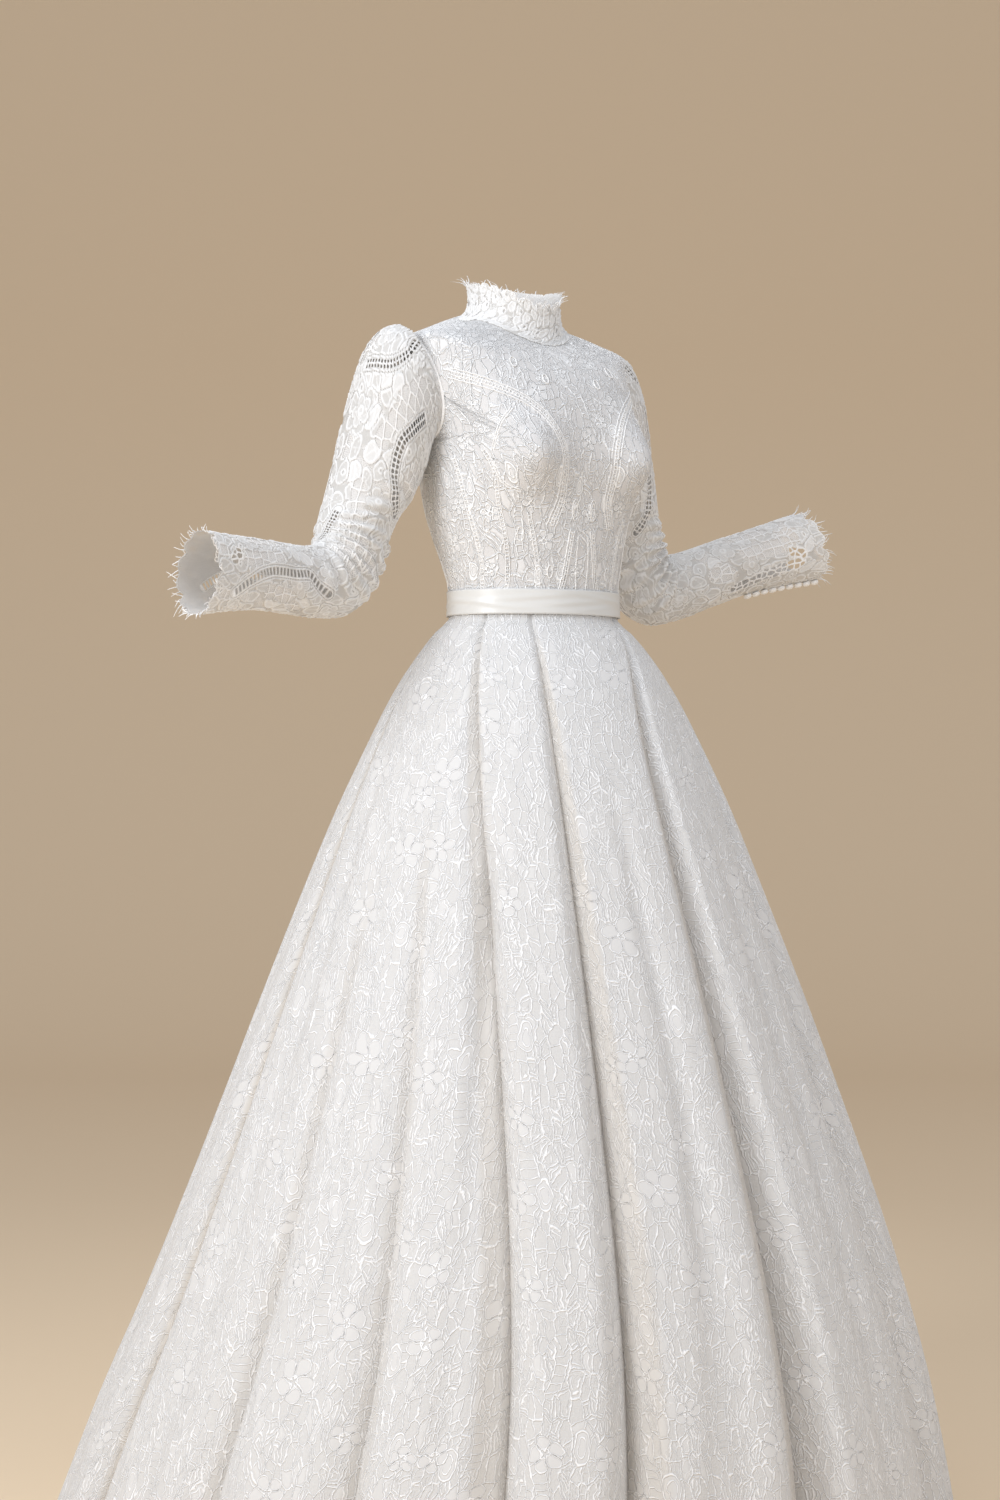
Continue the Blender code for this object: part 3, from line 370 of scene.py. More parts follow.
skirt = {
    "waistSeamZ": -0.335, "length": 1.183, "yMiddle": -0.02, "thickness": 0.0014,
    "growth": 0.80, "pleatDepth": 0.0030, "pleatWidth": 0.0040, "rows": 144, "cell": 0.0085,
    "crisp": 0.32, "crispWide": 0.013, "crowded": 0.09,
    # painted shade beside each fold's valley: how far the band lies to the wearer's left and its half width,
    # in millimetres at the hem, and how dark the painted shade is
    "paintedShadeBands": {"sideRight": (14, 40, 1.0), "frontRight2": (-20, 30, 0.5), "frontRight1": (18, 24, 0.6),
                 "frontLeft1": (-28, 34, 0.8), "frontLeft2": (-16, 30, 0.7)},
    "otherPaintedShadeBand": (0, 18, 0.3),
    # drop: halfWidth yFront yMiddle yBack
    "drops": [0.0, 0.016, 0.034, 0.060, 0.106, 0.177, 0.262, 0.359, 0.522, 0.626, 0.756, 0.886, 1.009, 1.183],
    "levels": [
        ("waistSeam", 0.1180, -0.1210, -0.0320, 0.0620),
        ("beltEdge", 0.1195, -0.1225, -0.0320, 0.0640),
        ("firstSwell", 0.1370, -0.1420, -0.0320, 0.0820),
        ("highHip", 0.1570, -0.1665, -0.0320, 0.1030),
        ("hip", 0.1860, -0.1995, -0.0320, 0.1360),
        ("fullHip", 0.2210, -0.2385, -0.0320, 0.1750),
        ("thigh", 0.2590, -0.2795, -0.0310, 0.2180),
        ("aboveKnee", 0.2970, -0.3200, -0.0300, 0.2620),
        ("knee", 0.3600, -0.3840, -0.0290, 0.3280),
        ("underKnee", 0.3980, -0.4220, -0.0270, 0.3700),
        ("calf", 0.4460, -0.4680, -0.0230, 0.4240),
        ("lowCalf", 0.4920, -0.5070, -0.0130, 0.4840),
        ("ankle", 0.5350, -0.5350, 0.0060, 0.5450),
        ("hem", 0.5870, -0.5600, 0.0330, 0.6230),
    ],
    # each fold's valley: waist angle, hem angle, length it settles over, drop it begins at,
    # depth and its widths to the wearer's right and left, in millimetres at the hem
    "folds": [
        ("backRight2", -160.0, -158.0, 0.30, 0.00, 56, 66, 64),
        ("backRight1", -138.0, -134.0, 0.30, 0.00, 54, 64, 66),
        ("sideRight", -114.0, -106.0, 0.12, 0.00, 42, 62, 60),
        ("sideRightLow", -86.0, -81.0, 0.35, 0.34, 34, 58, 54),
        ("frontRightLow", -82.0, -60.0, 0.33, 0.26, 34, 50, 48),
        ("frontRight2", -69.5, -40.0, 0.37, 0.00, 46, 84, 44),
        ("frontRight1", -36.0, -24.0, 0.50, 0.00, 58, 52, 36),
        ("frontLeft1", 47.0, 1.0, 0.065, 0.00, 74, 82, 46),
        ("frontLeft2", 74.0, 29.0, 0.12, 0.00, 64, 74, 52),
        ("frontLeftLow", 84.0, 52.0, 0.25, 0.22, 40, 56, 54),
        ("sideLeft", 100.0, 75.0, 0.30, 0.00, 54, 66, 60),
        ("sideLeftLow", 108.0, 98.0, 0.33, 0.34, 34, 58, 56),
        ("backLeft1", 122.0, 119.0, 0.30, 0.00, 52, 64, 62),
        ("backLeft2", 140.0, 140.0, 0.30, 0.00, 56, 64, 64),
        ("backLeft3", 160.0, 161.0, 0.30, 0.00, 50, 60, 60),
        ("centreBack", 180.0, 180.0, 0.30, 0.00, 58, 64, 64),
    ],
    # shallow folds between the main ones: waist angle, hem angle, settles, from, to, and depth and width
    # in millimetres
    "softFolds": [
        (-52.0, -50.0, 0.40, 0.10, 1.40, 7.0, 34),
        (-20.0, -11.0, 0.40, 0.16, 1.40, 8.0, 38),
        (4.0, -16.0, 0.30, 0.55, 1.40, 6.0, 30),
        (26.0, 15.0, 0.20, 0.22, 1.40, 8.0, 36),
        (60.0, 38.0, 0.20, 0.40, 1.40, 7.0, 32),
        (-100.0, -93.0, 0.20, 0.12, 1.40, 7.0, 36),
        (-74.0, -70.0, 0.30, 0.50, 1.40, 6.0, 30),
        (-126.0, -120.0, 0.30, 0.16, 1.40, 8.0, 40),
        (-148.0, -146.0, 0.30, 0.30, 1.40, 7.0, 34),
        (-170.0, -169.0, 0.30, 0.10, 1.40, 7.0, 36),
        (92.0, 64.0, 0.30, 0.45, 1.40, 6.0, 32),
        (104.0, 87.0, 0.30, 0.12, 1.40, 8.0, 38),
        (115.0, 108.0, 0.30, 0.25, 1.40, 7.0, 34),
        (131.0, 130.0, 0.30, 0.18, 1.40, 8.0, 36),
        (150.0, 150.0, 0.30, 0.36, 1.40, 7.0, 34),
        (170.0, 171.0, 0.30, 0.14, 1.40, 7.0, 36),
    ],
    # the folds that part two gores
    "gores": ["backRight2", "backRight1", "sideRight", "frontRight2", "frontRight1", "frontLeft1",
              "frontLeft2", "sideLeft", "backLeft1", "backLeft2", "backLeft3", "centreBack"],
    "goreShift": (0.311, 0.2177),  # how far each gore's pattern is moved on from the one before, in metres
    # panel, node, first fold and last fold
    "panels": [("skirtBackRight", "skirt_back_R", "centreBack", "backRight1"),
               ("skirtSideBackRight", "skirt_side_back_R", "backRight1", "sideRight"),
               ("skirtSideRight", "skirt_side_R", "sideRight", "frontRight2"),
               ("skirtFront", "skirt_front", "frontRight2", "frontLeft2"),
               ("skirtSideLeft", "skirt_side_L", "frontLeft2", "sideLeftLow"),
               ("skirtSideBackLeft", "skirt_side_back_L", "sideLeftLow", "backLeft2"),
               ("skirtBackLeft", "skirt_back_L", "backLeft2", "centreBack")],
}


def foldAngle(waist, hem, settles, drop):
    return hem + (waist - hem) * np.exp(-drop / settles)


def awayFromFold(angle, waist, hem, settles, drop):
    return (angle - foldAngle(waist, hem, settles, drop) + 180) % 360 - 180


def skirtSurface(angle, drop):
    # the skirt's points, and a mask from 0 to 1 of painted shade in a band beside each fold's valley
    halfWidth, yFront, yMiddle, yBack = sampleTable(skirt["levels"], drop, skirt["drops"])
    x, y = sectionPoint(angle, halfWidth, yFront, yMiddle, yBack, 2.0)
    outX, outY = x, y - yMiddle
    radius = np.hypot(outX, outY)
    sunk, deep = np.zeros_like(radius), np.zeros_like(radius)
    openShare = (drop / skirt["length"]) ** skirt["growth"]
    for name, waist, hem, settles, begins, depth, rightWidth, leftWidth in skirt["folds"]:
        away = awayFromFold(angle, waist, hem, settles, drop)
        width = np.where(away < 0, rightWidth, leftWidth) / 1000
        width = skirt["pleatWidth"] + (width - skirt["pleatWidth"]) * openShare
        growth = np.maximum(0, (drop - begins) / (skirt["length"] - begins)) ** skirt["growth"]
        pleat = skirt["pleatDepth"] * ease(drop / 0.02) if begins == 0 else 0.0
        aside = np.abs(np.radians(away) * radius)
        crisp = np.maximum(0, 1 - aside / (skirt["crispWide"] * (0.25 + 0.75 * openShare))) ** 1.4
        shape = (1 - skirt["crisp"]) * bell(aside / width) + skirt["crisp"] * crisp
        sunk = sunk + (pleat + (depth / 1000 - pleat) * growth) * shape
        # painted shade: a band beside the fold's valley, moved toward its shaded side, that darkens and warms
        # the lace's colour
        shift, half, share = skirt["paintedShadeBands"].get(name, skirt["otherPaintedShadeBand"])
        offset = np.radians(away) * radius - shift / 1000 * openShare
        shadeBand = ease((1 - np.abs(offset) / (0.003 + half / 1000 * openShare)) * 2.2)
        deep = np.maximum(deep, shadeBand * share * ease((drop - begins) / 0.1))
    for waist, hem, settles, begins, ends, depth, wide in skirt["softFolds"]:
        away = awayFromFold(angle, waist, hem, settles, drop)
        width = wide / 1000 * (0.25 + 0.75 * openShare)
        shown = ease((drop - begins) / 0.25) * (1 - ease((drop - ends + 0.2) / 0.2))
        sunk = sunk + depth / 1000 * shown * bell(np.radians(away) * radius / width)
    keep = 1 - sunk / radius
    z = skirt["waistSeamZ"] - drop + np.zeros_like(keep)
    return np.stack([outX * keep, outY * keep + yMiddle, z], axis=-1), deep


def skirtPieces(material, lining):
    drops = np.linspace(0.0003, skirt["length"], skirt["rows"])[:, None]
    folds = skirt["folds"]
    starts, angles, goreOf = {"centreBack": 0}, [], []
    gore, column = 0, 0
    for index in range(-1, len(folds) - 1):
        here, after = folds[index], folds[index + 1]
        start = foldAngle(here[1], here[2], here[3], drops) - (360 if index < 0 else 0)
        end = foldAngle(after[1], after[2], after[3], drops)
        count = max(18, round(math.radians(float(end[-1, 0] - start[-1, 0])) * 0.60 / skirt["cell"]))
        if index >= 0:
            starts[here[0]] = column
            gore += here[0] in skirt["gores"]
        shares = np.arange(count) / count  # columns stand closer at the folds
        shares = shares - skirt["crowded"] * np.sin(2 * math.pi * shares)
        angles.append(start + (end - start) * shares[None, :])
        goreOf += [gore] * count
        column += count
    angles = np.concatenate(angles + [np.full_like(drops, 180.0)], axis=1)
    points, deep = skirtSurface(angles, drops + np.zeros_like(angles))
    ends = dict(starts, centreBack=column)
    outward = points * np.array([1, 1, 0]) - np.array([0, skirt["yMiddle"], 0])
    across = arcAlong(points, 1)
    down = arcAlong(points, 0).mean(axis=1)[:, None] + np.zeros_like(across)
    # each gore is cut on its own straight grain, so its pattern runs straight down its middle
    goreOf = np.array(goreOf)
    firsts = np.searchsorted(goreOf, goreOf)
    lasts = np.searchsorted(goreOf, goreOf, side="right")
    middles = (across[:, firsts] + across[:, lasts]) / 2
    shiftAcross, shiftDown = (goreOf * shift for shift in skirt["goreShift"])
    corners = []
    for row, column in ((0, 0), (0, 1), (1, 1), (1, 0)):
        rows = slice(row, across.shape[0] - 1 + row)
        columns = slice(column, across.shape[1] - 1 + column)
        u = across[rows, columns] - middles[rows] + shiftAcross
        corners.append(np.stack([u, shiftDown - down[rows, columns]], axis=2))
    cornerUv = np.stack(corners, axis=2)
    for name, node, firstFold, lastFold in skirt["panels"]:
        first, last = starts[firstFold], ends[lastFold]
        part = slice(first, last + 1)
        # the painted shade mask goes with each panel's cloth as an attribute
        piece = gridPiece(name, points[:, part], cornerUv[:, first:last], material, outward[:, part], [node],
                          paintedLightAndShade=deep[:, part].ravel())
        lineInside(piece, lining, skirt["thickness"])


# Sleeves, as open lace: a fine grid whose holes are cut along the edges of its motifs

sleeve = {
    # over and under points and half the depth of each ring, on the wearer's left
    "rings": [
        ("head1", 0.1800, 0.0240, 0.0170, 0.1470, 0.0160, -0.1360, 0.0500),
        ("head2", 0.1980, 0.0290, 0.0100, 0.1475, 0.0200, -0.1430, 0.0560),
        ("head3", 0.2130, 0.0310, -0.0090, 0.1480, 0.0240, -0.1510, 0.0590),
        ("cap", 0.2245, 0.0320, -0.0380, 0.1480, 0.0280, -0.1590, 0.0610),
        ("highArm", 0.2340, 0.0340, -0.0750, 0.1490, 0.0320, -0.1700, 0.0620),
        ("arm", 0.2445, 0.0370, -0.1130, 0.1520, 0.0360, -0.1830, 0.0610),
        ("lowArm", 0.2540, 0.0390, -0.1500, 0.1600, 0.0390, -0.1990, 0.0580),
        ("aboveElbow", 0.2635, 0.0410, -0.1830, 0.1720, 0.0410, -0.2180, 0.0535),
        ("elbow1", 0.2725, 0.0425, -0.2110, 0.1840, 0.0420, -0.2370, 0.0500),
        ("elbow2", 0.2805, 0.0420, -0.2340, 0.1950, 0.0420, -0.2620, 0.0470),
        ("elbow3", 0.2850, 0.0400, -0.2510, 0.2090, 0.0410, -0.2960, 0.0450),
        ("elbow4", 0.2930, 0.0370, -0.2610, 0.2310, 0.0380, -0.3330, 0.0435),
        ("belowElbow", 0.3060, 0.0330, -0.2660, 0.2640, 0.0340, -0.3530, 0.0420),
        ("forearm1", 0.3300, 0.0260, -0.2685, 0.3080, 0.0280, -0.3555, 0.0410),
        ("forearm2", 0.3650, 0.0160, -0.2675, 0.3560, 0.0180, -0.3520, 0.0400),
        ("forearm3", 0.4100, 0.0030, -0.2655, 0.4080, 0.0040, -0.3500, 0.0400),
        ("aboveCuff", 0.4620, -0.0130, -0.2640, 0.4640, -0.0120, -0.3540, 0.0410),
        ("cuff", 0.5150, -0.0290, -0.2620, 0.5230, -0.0280, -0.3610, 0.0430),
    ],
    "cuffRing": 17.0, "pivot": (0.250, 0.042, -0.303), "bendStart": 8.0, "bendEnd": 12.0,
    "lift": {"R": 0.0, "L": 17.0}, "ease": 0.0022, "gathers": 10, "gatherHeight": 0.0022,
    "cuffLeaves": 12, "leafDepth": 10.0,
    # ring, degrees round, how long in degrees, how wide in rings, tilt and height in millimetres
    "creases": [
        (8.45, 60, 58, 0.24, -0.004, 5.7),
        (9.05, 66, 70, 0.21, -0.003, 7.3),
        (9.60, 72, 76, 0.22, 0.000, 8.4),
        (10.20, 70, 80, 0.22, 0.002, 8.9),
        (10.75, 76, 72, 0.21, 0.001, 8.1),
        (11.35, 72, 64, 0.25, 0.004, 7.0),
        (12.05, 80, 56, 0.30, 0.006, 5.9),
        (12.85, 92, 48, 0.36, 0.004, 4.6),
        (7.75, 78, 50, 0.34, -0.006, 4.6),
        (9.30, 146, 44, 0.22, 0.006, 6.2),
        (9.95, 140, 50, 0.22, 0.003, 7.0),
        (10.55, 136, 46, 0.24, -0.002, 6.8),
        (11.20, 128, 40, 0.26, -0.004, 5.7),
        (9.4, 285, 60, 0.34, -0.006, 6.8),
        (10.3, 275, 66, 0.32, -0.002, 7.6),
        (11.3, 282, 56, 0.36, 0.003, 6.5),
        (12.4, 288, 46, 0.50, 0.006, 4.6),
        (6.2, 120, 50, 0.70, 0.012, 4.1),
        (6.0, 240, 50, 0.70, -0.012, 4.1),
        (6.9, 92, 48, 0.44, 0.010, 4.1),
        (13.8, 112, 44, 0.50, -0.012, 3.0),
        (5.0, 95, 40, 0.60, 0.014, 2.1),
        (14.6, 60, 44, 0.50, 0.010, 2.3),
        (15.6, 96, 44, 0.44, -0.008, 2.1),
        (8.2, 230, 40, 0.40, -0.014, 2.8),
        (10.2, 330, 36, 0.30, 0.004, 3.0),
        (14.6, 250, 44, 0.50, -0.010, 2.1),
        (3.6, 300, 40, 0.60, 0.010, 1.8),
    ],
    "columns": 250, "rows": 366, "lengths": 800,
    "seeds": {"R": 3, "L": 8},
    # ladders of open rungs: half the length and width of a hole, the bar between two, all in millimetres,
    # whether the holes stand in two columns, the sides that have it, then degrees round and rings
    "ladders": [
        (2.0, 2.0, 2.0, True, "RL",
         [(99, 2.8), (84, 4.1), (75, 4.9), (75, 5.5), (78, 6.0), (87, 6.6), (99, 7.2), (117, 7.8)]),
        (1.7, 4.2, 3.2, False, "R",
         [(123, 16.3), (105, 15.9), (93, 15.5), (87, 15.0), (87, 14.4), (84, 13.8), (99, 13.4), (112, 13.0)]),
        (1.5, 1.4, 2.2, True, "RL", [(0, 2.9), (30, 2.7), (45, 2.1), (51, 1.2), (45, 0.1)]),
        (1.9, 2.0, 2.0, True, "RL", [(-70, 3.2), (-88, 4.6), (-96, 5.6), (-88, 6.6), (-70, 7.8), (-58, 9.0)]),
        (1.7, 4.0, 3.2, False, "RL", [(-110, 16.2), (-92, 15.6), (-84, 14.8), (-92, 13.8), (-112, 13.0)]),
        (1.6, 1.7, 2.0, True, "RL", [(20, 8.4), (8, 9.6), (-8, 10.8), (-20, 12.0), (-16, 13.2), (4, 14.2)]),
    ],
    # windows of plain net, as lines with a half width in millimetres
    "windows": [
        (17, [(68, 3.4), (92, 1.6)]), (12, [(60, 4.2), (50, 5.2)]), (13, [(112, 5.2), (112, 6.4)]),
        (11, [(40, 7.2), (52, 8.4)]), (13, [(70, 16.0), (66, 14.8)]), (11, [(130, 14.4), (122, 15.2)]),
        (14, [(-48, 1.4), (-60, 2.8)]), (12, [(-118, 5.0), (-120, 6.4)]), (12, [(-30, 6.4), (-36, 7.6)]),
        (12, [(-52, 15.8), (-58, 14.6)]), (10, [(30, 15.6), (24, 14.6)]), (9, [(-20, 16.2), (-10, 15.2)]),
    ],
    "openNets": {
        "L": [(9, [(126, 14.3), (116, 15.2), (108, 16.2)]), (8, [(84, 16.0), (92, 16.3)])],
        "R": [(8, [(60, 16.2), (72, 16.4)])],
    },
    # cells of each kind of work, as width and height in millimetres
    "leafCell": (17.5, 25.0), "loopCell": (12.0, 19.0), "netCell": (13.0, 14.95), "boldCell": (8.0, 10.0),
    "flowerCell": (50.0, 58.0), "flower": 15.5, "group": 44.0,
    "closed": 0.47, "netted": 0.32,  # shares of the lace that are worked closed, and as net
    "netBehind": 0.0005, "netStep": (3, 2),  # the net's grid takes every third row and every second column
    "wander": [(12, 34, 0), (1.6, 9, 12)],  # how far the work strays, over what length, and its own seed
    "headSeam": 4.0, "underarmSeam": 2.6, "cuffRim": 1.6,  # whole cloth along the edges, in millimetres
}


def sleeveSurface(side, around, ring):
    turn = np.radians(around)
    numbers = sampleTable(sleeve["rings"], np.maximum(ring, 0))
    over, under = np.stack(numbers[0:3], axis=-1), np.stack(numbers[3:6], axis=-1)
    middle = (over + under) / 2
    forward = np.stack([np.zeros_like(numbers[6]), -numbers[6], np.zeros_like(numbers[6])], axis=-1)
    point = middle + (over - middle) * np.cos(turn)[..., None] + forward * np.sin(turn)[..., None]
    outward = unit(point - middle)
    share = np.maximum(-ring, 0)[..., None]
    point = point + (armholeRing(around) - point) * share
    point = point + outward * (creaseHeight(ring, around) * np.minimum(1, 1 + ring))[..., None]
    bent = ease((ring - sleeve["bendStart"]) / (sleeve["bendEnd"] - sleeve["bendStart"]))
    lift = math.radians(-sleeve["lift"][side]) * bent
    pivot = np.array(sleeve["pivot"])
    away = point - pivot
    x = away[..., 0] * np.cos(lift) + away[..., 2] * np.sin(lift)
    z = -away[..., 0] * np.sin(lift) + away[..., 2] * np.cos(lift)
    point = pivot + np.stack([x, away[..., 1], z], axis=-1)
    if side == "R":
        point = point * np.array([-1.0, 1.0, 1.0])
    return point


def armholeEdge(around):
    turn = np.radians(around)
    angle = bodice["armholeAngle"] - bodice["armholeHalfAngle"] * np.sin(turn)
    return bodiceSurface(angle, bodice["armholeMiddle"] + bodice["armholeHalfLevels"] * np.cos(turn))


def armholeRing(around):
    # the sleeve's own edge, just inside the armhole
    middle = armholeEdge(np.arange(0, 360, 45.0)).mean(axis=0)
    edge = armholeEdge(around)
    return edge + unit(middle - edge) * sleeve["ease"]


def creaseHeight(ring, around):
    height = np.zeros(np.broadcast(ring, around).shape)
    for atRing, atAround, long, wide, turn, size in sleeve["creases"]:
        across = (around - atAround + 180) % 360 - 180
        along = ring - atRing - turn * across
        wave = np.cos(np.pi * along / wide / 2) * bell(along / wide / 2)
        height = height + size / 1000 * bell(across / long) * wave
    gathers = 0.5 + 0.5 * np.cos(np.radians(around) * sleeve["gathers"])
    overShoulder = bell(((around + 180) % 360 - 180) / 100)
    return height + sleeve["gatherHeight"] * gathers * overShoulder * bell((ring - 0.5) / 2.2)


# Lace patterns, measured in millimetres on the flat cloth

def chance(i, j, seed):
    # a number from 0 to 1 for each cell, the same on each run
    return np.modf(np.abs(np.sin(i * 127.1 + j * 311.7 + seed * 74.7) * 43758.5453))[0]


def softNoise(u, v, size, seed):
    x, y = u / size, v / size
    i, j = np.floor(x), np.floor(y)
    fx, fy = ease(x - i), ease(y - j)
    low = chance(i, j, seed) * (1 - fx) + chance(i + 1, j, seed) * fx
    high = chance(i, j + 1, seed) * (1 - fx) + chance(i + 1, j + 1, seed) * fx
    return low * (1 - fy) + high * fy


def cellPattern(u, v, wide, high, seed, loose=0.75):
    # distance to the nearest border between two cells, a number for each cell, and its own middle
    x, y = u / wide, v / high
    i, j = np.floor(x), np.floor(y)

    def middleOf(a, b):
        return a + 0.5 + loose * (chance(a, b, seed) - 0.5), b + 0.5 + loose * (chance(a, b, seed + 9) - 0.5)

    best = np.full(x.shape, 1e9)
    mx, my, number = np.zeros(x.shape), np.zeros(x.shape), np.zeros(x.shape)
    for a in (-1, 0, 1):
        for b in (-1, 0, 1):
            px, py = middleOf(i + a, j + b)
            distance = (px - x) ** 2 + (py - y) ** 2
            closer = distance < best
            best = np.where(closer, distance, best)
            mx, my = np.where(closer, px, mx), np.where(closer, py, my)
            number = np.where(closer, chance(i + a, j + b, seed + 31), number)
    edge = np.full(x.shape, 1e9)
    for a in (-2, -1, 0, 1, 2):
        for b in (-2, -1, 0, 1, 2):
            px, py = middleOf(i + a, j + b)
            dx, dy = px - mx, py - my
            slope = np.hypot(dx / wide, dy / high)
            towards = ((px + mx) / 2 - x) * dx + ((py + my) / 2 - y) * dy
            edge = np.minimum(edge, np.where(slope > 1e-6, towards / np.maximum(slope, 1e-6), 1e9))
    return edge, number, (mx * wide, my * high)


def lineDistance(u, v, line):
    # distance from a line through several places, and how far along it
    best, along, walked = np.full(u.shape, 1e9), np.zeros(u.shape), 0.0
    for (u1, v1), (u2, v2) in zip(line, line[1:]):
        length = math.hypot(u2 - u1, v2 - v1)
        share = np.clip(((u - u1) * (u2 - u1) + (v - v1) * (v2 - v1)) / length ** 2, 0, 1)
        distance = np.hypot(u - u1 - share * (u2 - u1), v - v1 - share * (v2 - v1))
        closer = distance < best
        best, along = np.where(closer, distance, best), np.where(closer, walked + share * length, along)
        walked += length
    return best, along


def smoothLine(places):
    keys = np.arange(len(places))
    fine = np.linspace(0, len(places) - 1, 6 * len(places))
    return list(zip(*(curveThrough(keys, [place[axis] for place in places], fine) for axis in (0, 1))))


def cutLace(name, points, uv, cloth, relief, outward, material, nodes):
    # keeps the grid where cloth is above 0, and cuts its triangles where cloth passes 0
    rows, columns = cloth.shape
    index = np.arange(rows * columns).reshape(rows, columns)
    a, b = index[:-1, :-1].ravel(), index[:-1, 1:].ravel()
    c, d = index[1:, 1:].ravel(), index[1:, :-1].ravel()
    triangles = np.concatenate([np.stack([a, b, c], 1), np.stack([a, c, d], 1)])
    flatPoints, flatUv = points.reshape(-1, 3), uv.reshape(-1, 2)
    value, paintedLightAndShade = cloth.ravel(), relief.ravel()
    one = triangles[len(triangles) // 4]
    facing = np.cross(flatPoints[one[1]] - flatPoints[one[0]], flatPoints[one[2]] - flatPoints[one[0]])
    if facing @ outward.reshape(-1, 3)[one[0]] < 0:
        triangles = triangles[:, ::-1]
    inside = value[triangles] > 0
    count = inside.sum(axis=1)
    size = len(value)
    borders = []

    def crossing(p, q):
        key = np.minimum(p, q).astype(np.int64) * size + np.maximum(p, q)
        borders.append(key)
        return key

    def turned(chosen, first):
        # turns each triangle so that its odd corner comes first
        start = np.argmax(first, axis=1)
        order = (start[:, None] + np.arange(3)) % 3
        return np.take_along_axis(chosen, order, axis=1)

    single = turned(triangles[count == 1], inside[count == 1])
    double = turned(triangles[count == 2], ~inside[count == 2])
    s1, s2 = crossing(single[:, 0], single[:, 1]), crossing(single[:, 0], single[:, 2])
    d1, _ = crossing(double[:, 0], double[:, 1]), crossing(double[:, 0], double[:, 2])
    keys, back = np.unique(np.concatenate(borders), return_inverse=True)
    p, q = keys // size, keys % size
    share = np.clip(value[p] / (value[p] - value[q]), 0.04, 0.96)[:, None]
    newPoints = flatPoints[p] + (flatPoints[q] - flatPoints[p]) * share
    newUv = flatUv[p] + (flatUv[q] - flatUv[p]) * share
    newPaintedLightAndShade = paintedLightAndShade[p] + (paintedLightAndShade[q] - paintedLightAndShade[p]) * share[:, 0]
    back = back + size
    cuts = np.split(back, np.cumsum([len(s1), len(s2), len(d1)]))
    faces = np.concatenate([
        triangles[count == 3],
        np.stack([single[:, 0], cuts[0], cuts[1]], 1),
        np.stack([cuts[2], double[:, 1], double[:, 2]], 1),
        np.stack([cuts[2], double[:, 2], cuts[3]], 1)])
    allPoints, allUv = np.concatenate([flatPoints, newPoints]), np.concatenate([flatUv, newUv])
    used, faces = np.unique(faces, return_inverse=True)
    faces = faces.reshape(-1, 3)
    return meshPiece(name, allPoints[used], faces.tolist(), allUv[used], material, nodes,
                     paintedLightAndShade=np.concatenate([paintedLightAndShade, newPaintedLightAndShade])[used])


def sleevePiece(side, material, netting):
    fine = np.linspace(-1, sleeve["cuffRing"], sleeve["lengths"])
    lines = [sleeveSurface(side, np.full_like(fine, turn), fine) for turn in range(0, 360, 30)]
    path = np.mean(lines, axis=0)
    walked = walkAlong(path)
    ring = np.interp(np.linspace(0, walked[-1], sleeve["rows"]), walked, fine)[:, None]
    wrap = np.linspace(-180, 180, sleeve["columns"] + 1)[None, :] + np.zeros_like(ring)
    rings = ring + np.zeros_like(wrap)
    points = sleeveSurface(side, wrap % 360, rings)
    length = np.linalg.norm(np.diff(points, axis=1), axis=2).sum(axis=1)[:, None] * 1000
    v = (np.linspace(0, walked[-1], sleeve["rows"])[:, None] + np.zeros_like(wrap)) * 1000
    u = wrap / 360 * length
    middle = points[:, :-1].mean(axis=1, keepdims=True)
    normals = normalsOf(points, points - middle)
    normals[:, 0] = normals[:, -1] = (normals[:, 0] + normals[:, -1]) / 2

    def flatPlace(around, atRing):
        # degrees round and a ring, as a place on the flat cloth in millimetres
        wide, down = (float(np.interp(atRing, ring[:, 0], values[:, 0])) for values in (length, v))
        return around / 360 * wide, down

    cloth, relief, ground = sleeveLace(side, u, v, flatPlace, length)
    uv = np.stack([u, v], axis=2) / 1000
    # the net lies just inside the lace, on a coarser grid
    rowStep, columnStep = sleeve["netStep"]
    coarse = (slice(None, None, rowStep), slice(None, None, columnStep))
    net = cutLace("sleeveNet" + side, points[coarse] - normals[coarse] * sleeve["netBehind"], uv[coarse],
                  ground[coarse], relief[coarse], normals[coarse], netting, ())
    points = points + normals * (relief / 1000)[:, :, None]
    piece = cutLace("sleeve" + side, points, uv, cloth, relief, normals, material,
                    [f"sleeve_{side}_front", f"sleeve_{side}_back"])
    return points, normals


def petalShape(u, v, edge, number, mu, mv, cell):
    # inside a petal this is the distance to its outline: the cell's border, or an oval where that is nearer
    turn = (number - 0.5) * 1.4
    across = (u - mu) * np.cos(turn) + (v - mv) * np.sin(turn)
    along = (v - mv) * np.cos(turn) - (u - mu) * np.sin(turn)
    oval = (1 - np.hypot(across / (cell[0] * 0.56), along / (cell[1] * 0.56))) * cell[0] * 0.62
    return np.minimum(edge - 0.75, oval)


def cuffScallop(around):
    # how far the cuff's leafy edge is cut back, in millimetres, at each share of the way round
    leaf = np.abs(np.sin(around * math.pi * sleeve["cuffLeaves"]))
    return 1.0 + sleeve["leafDepth"] * (1 - leaf ** 1.3) * (0.7 + 0.3 * np.sin(around * 31))


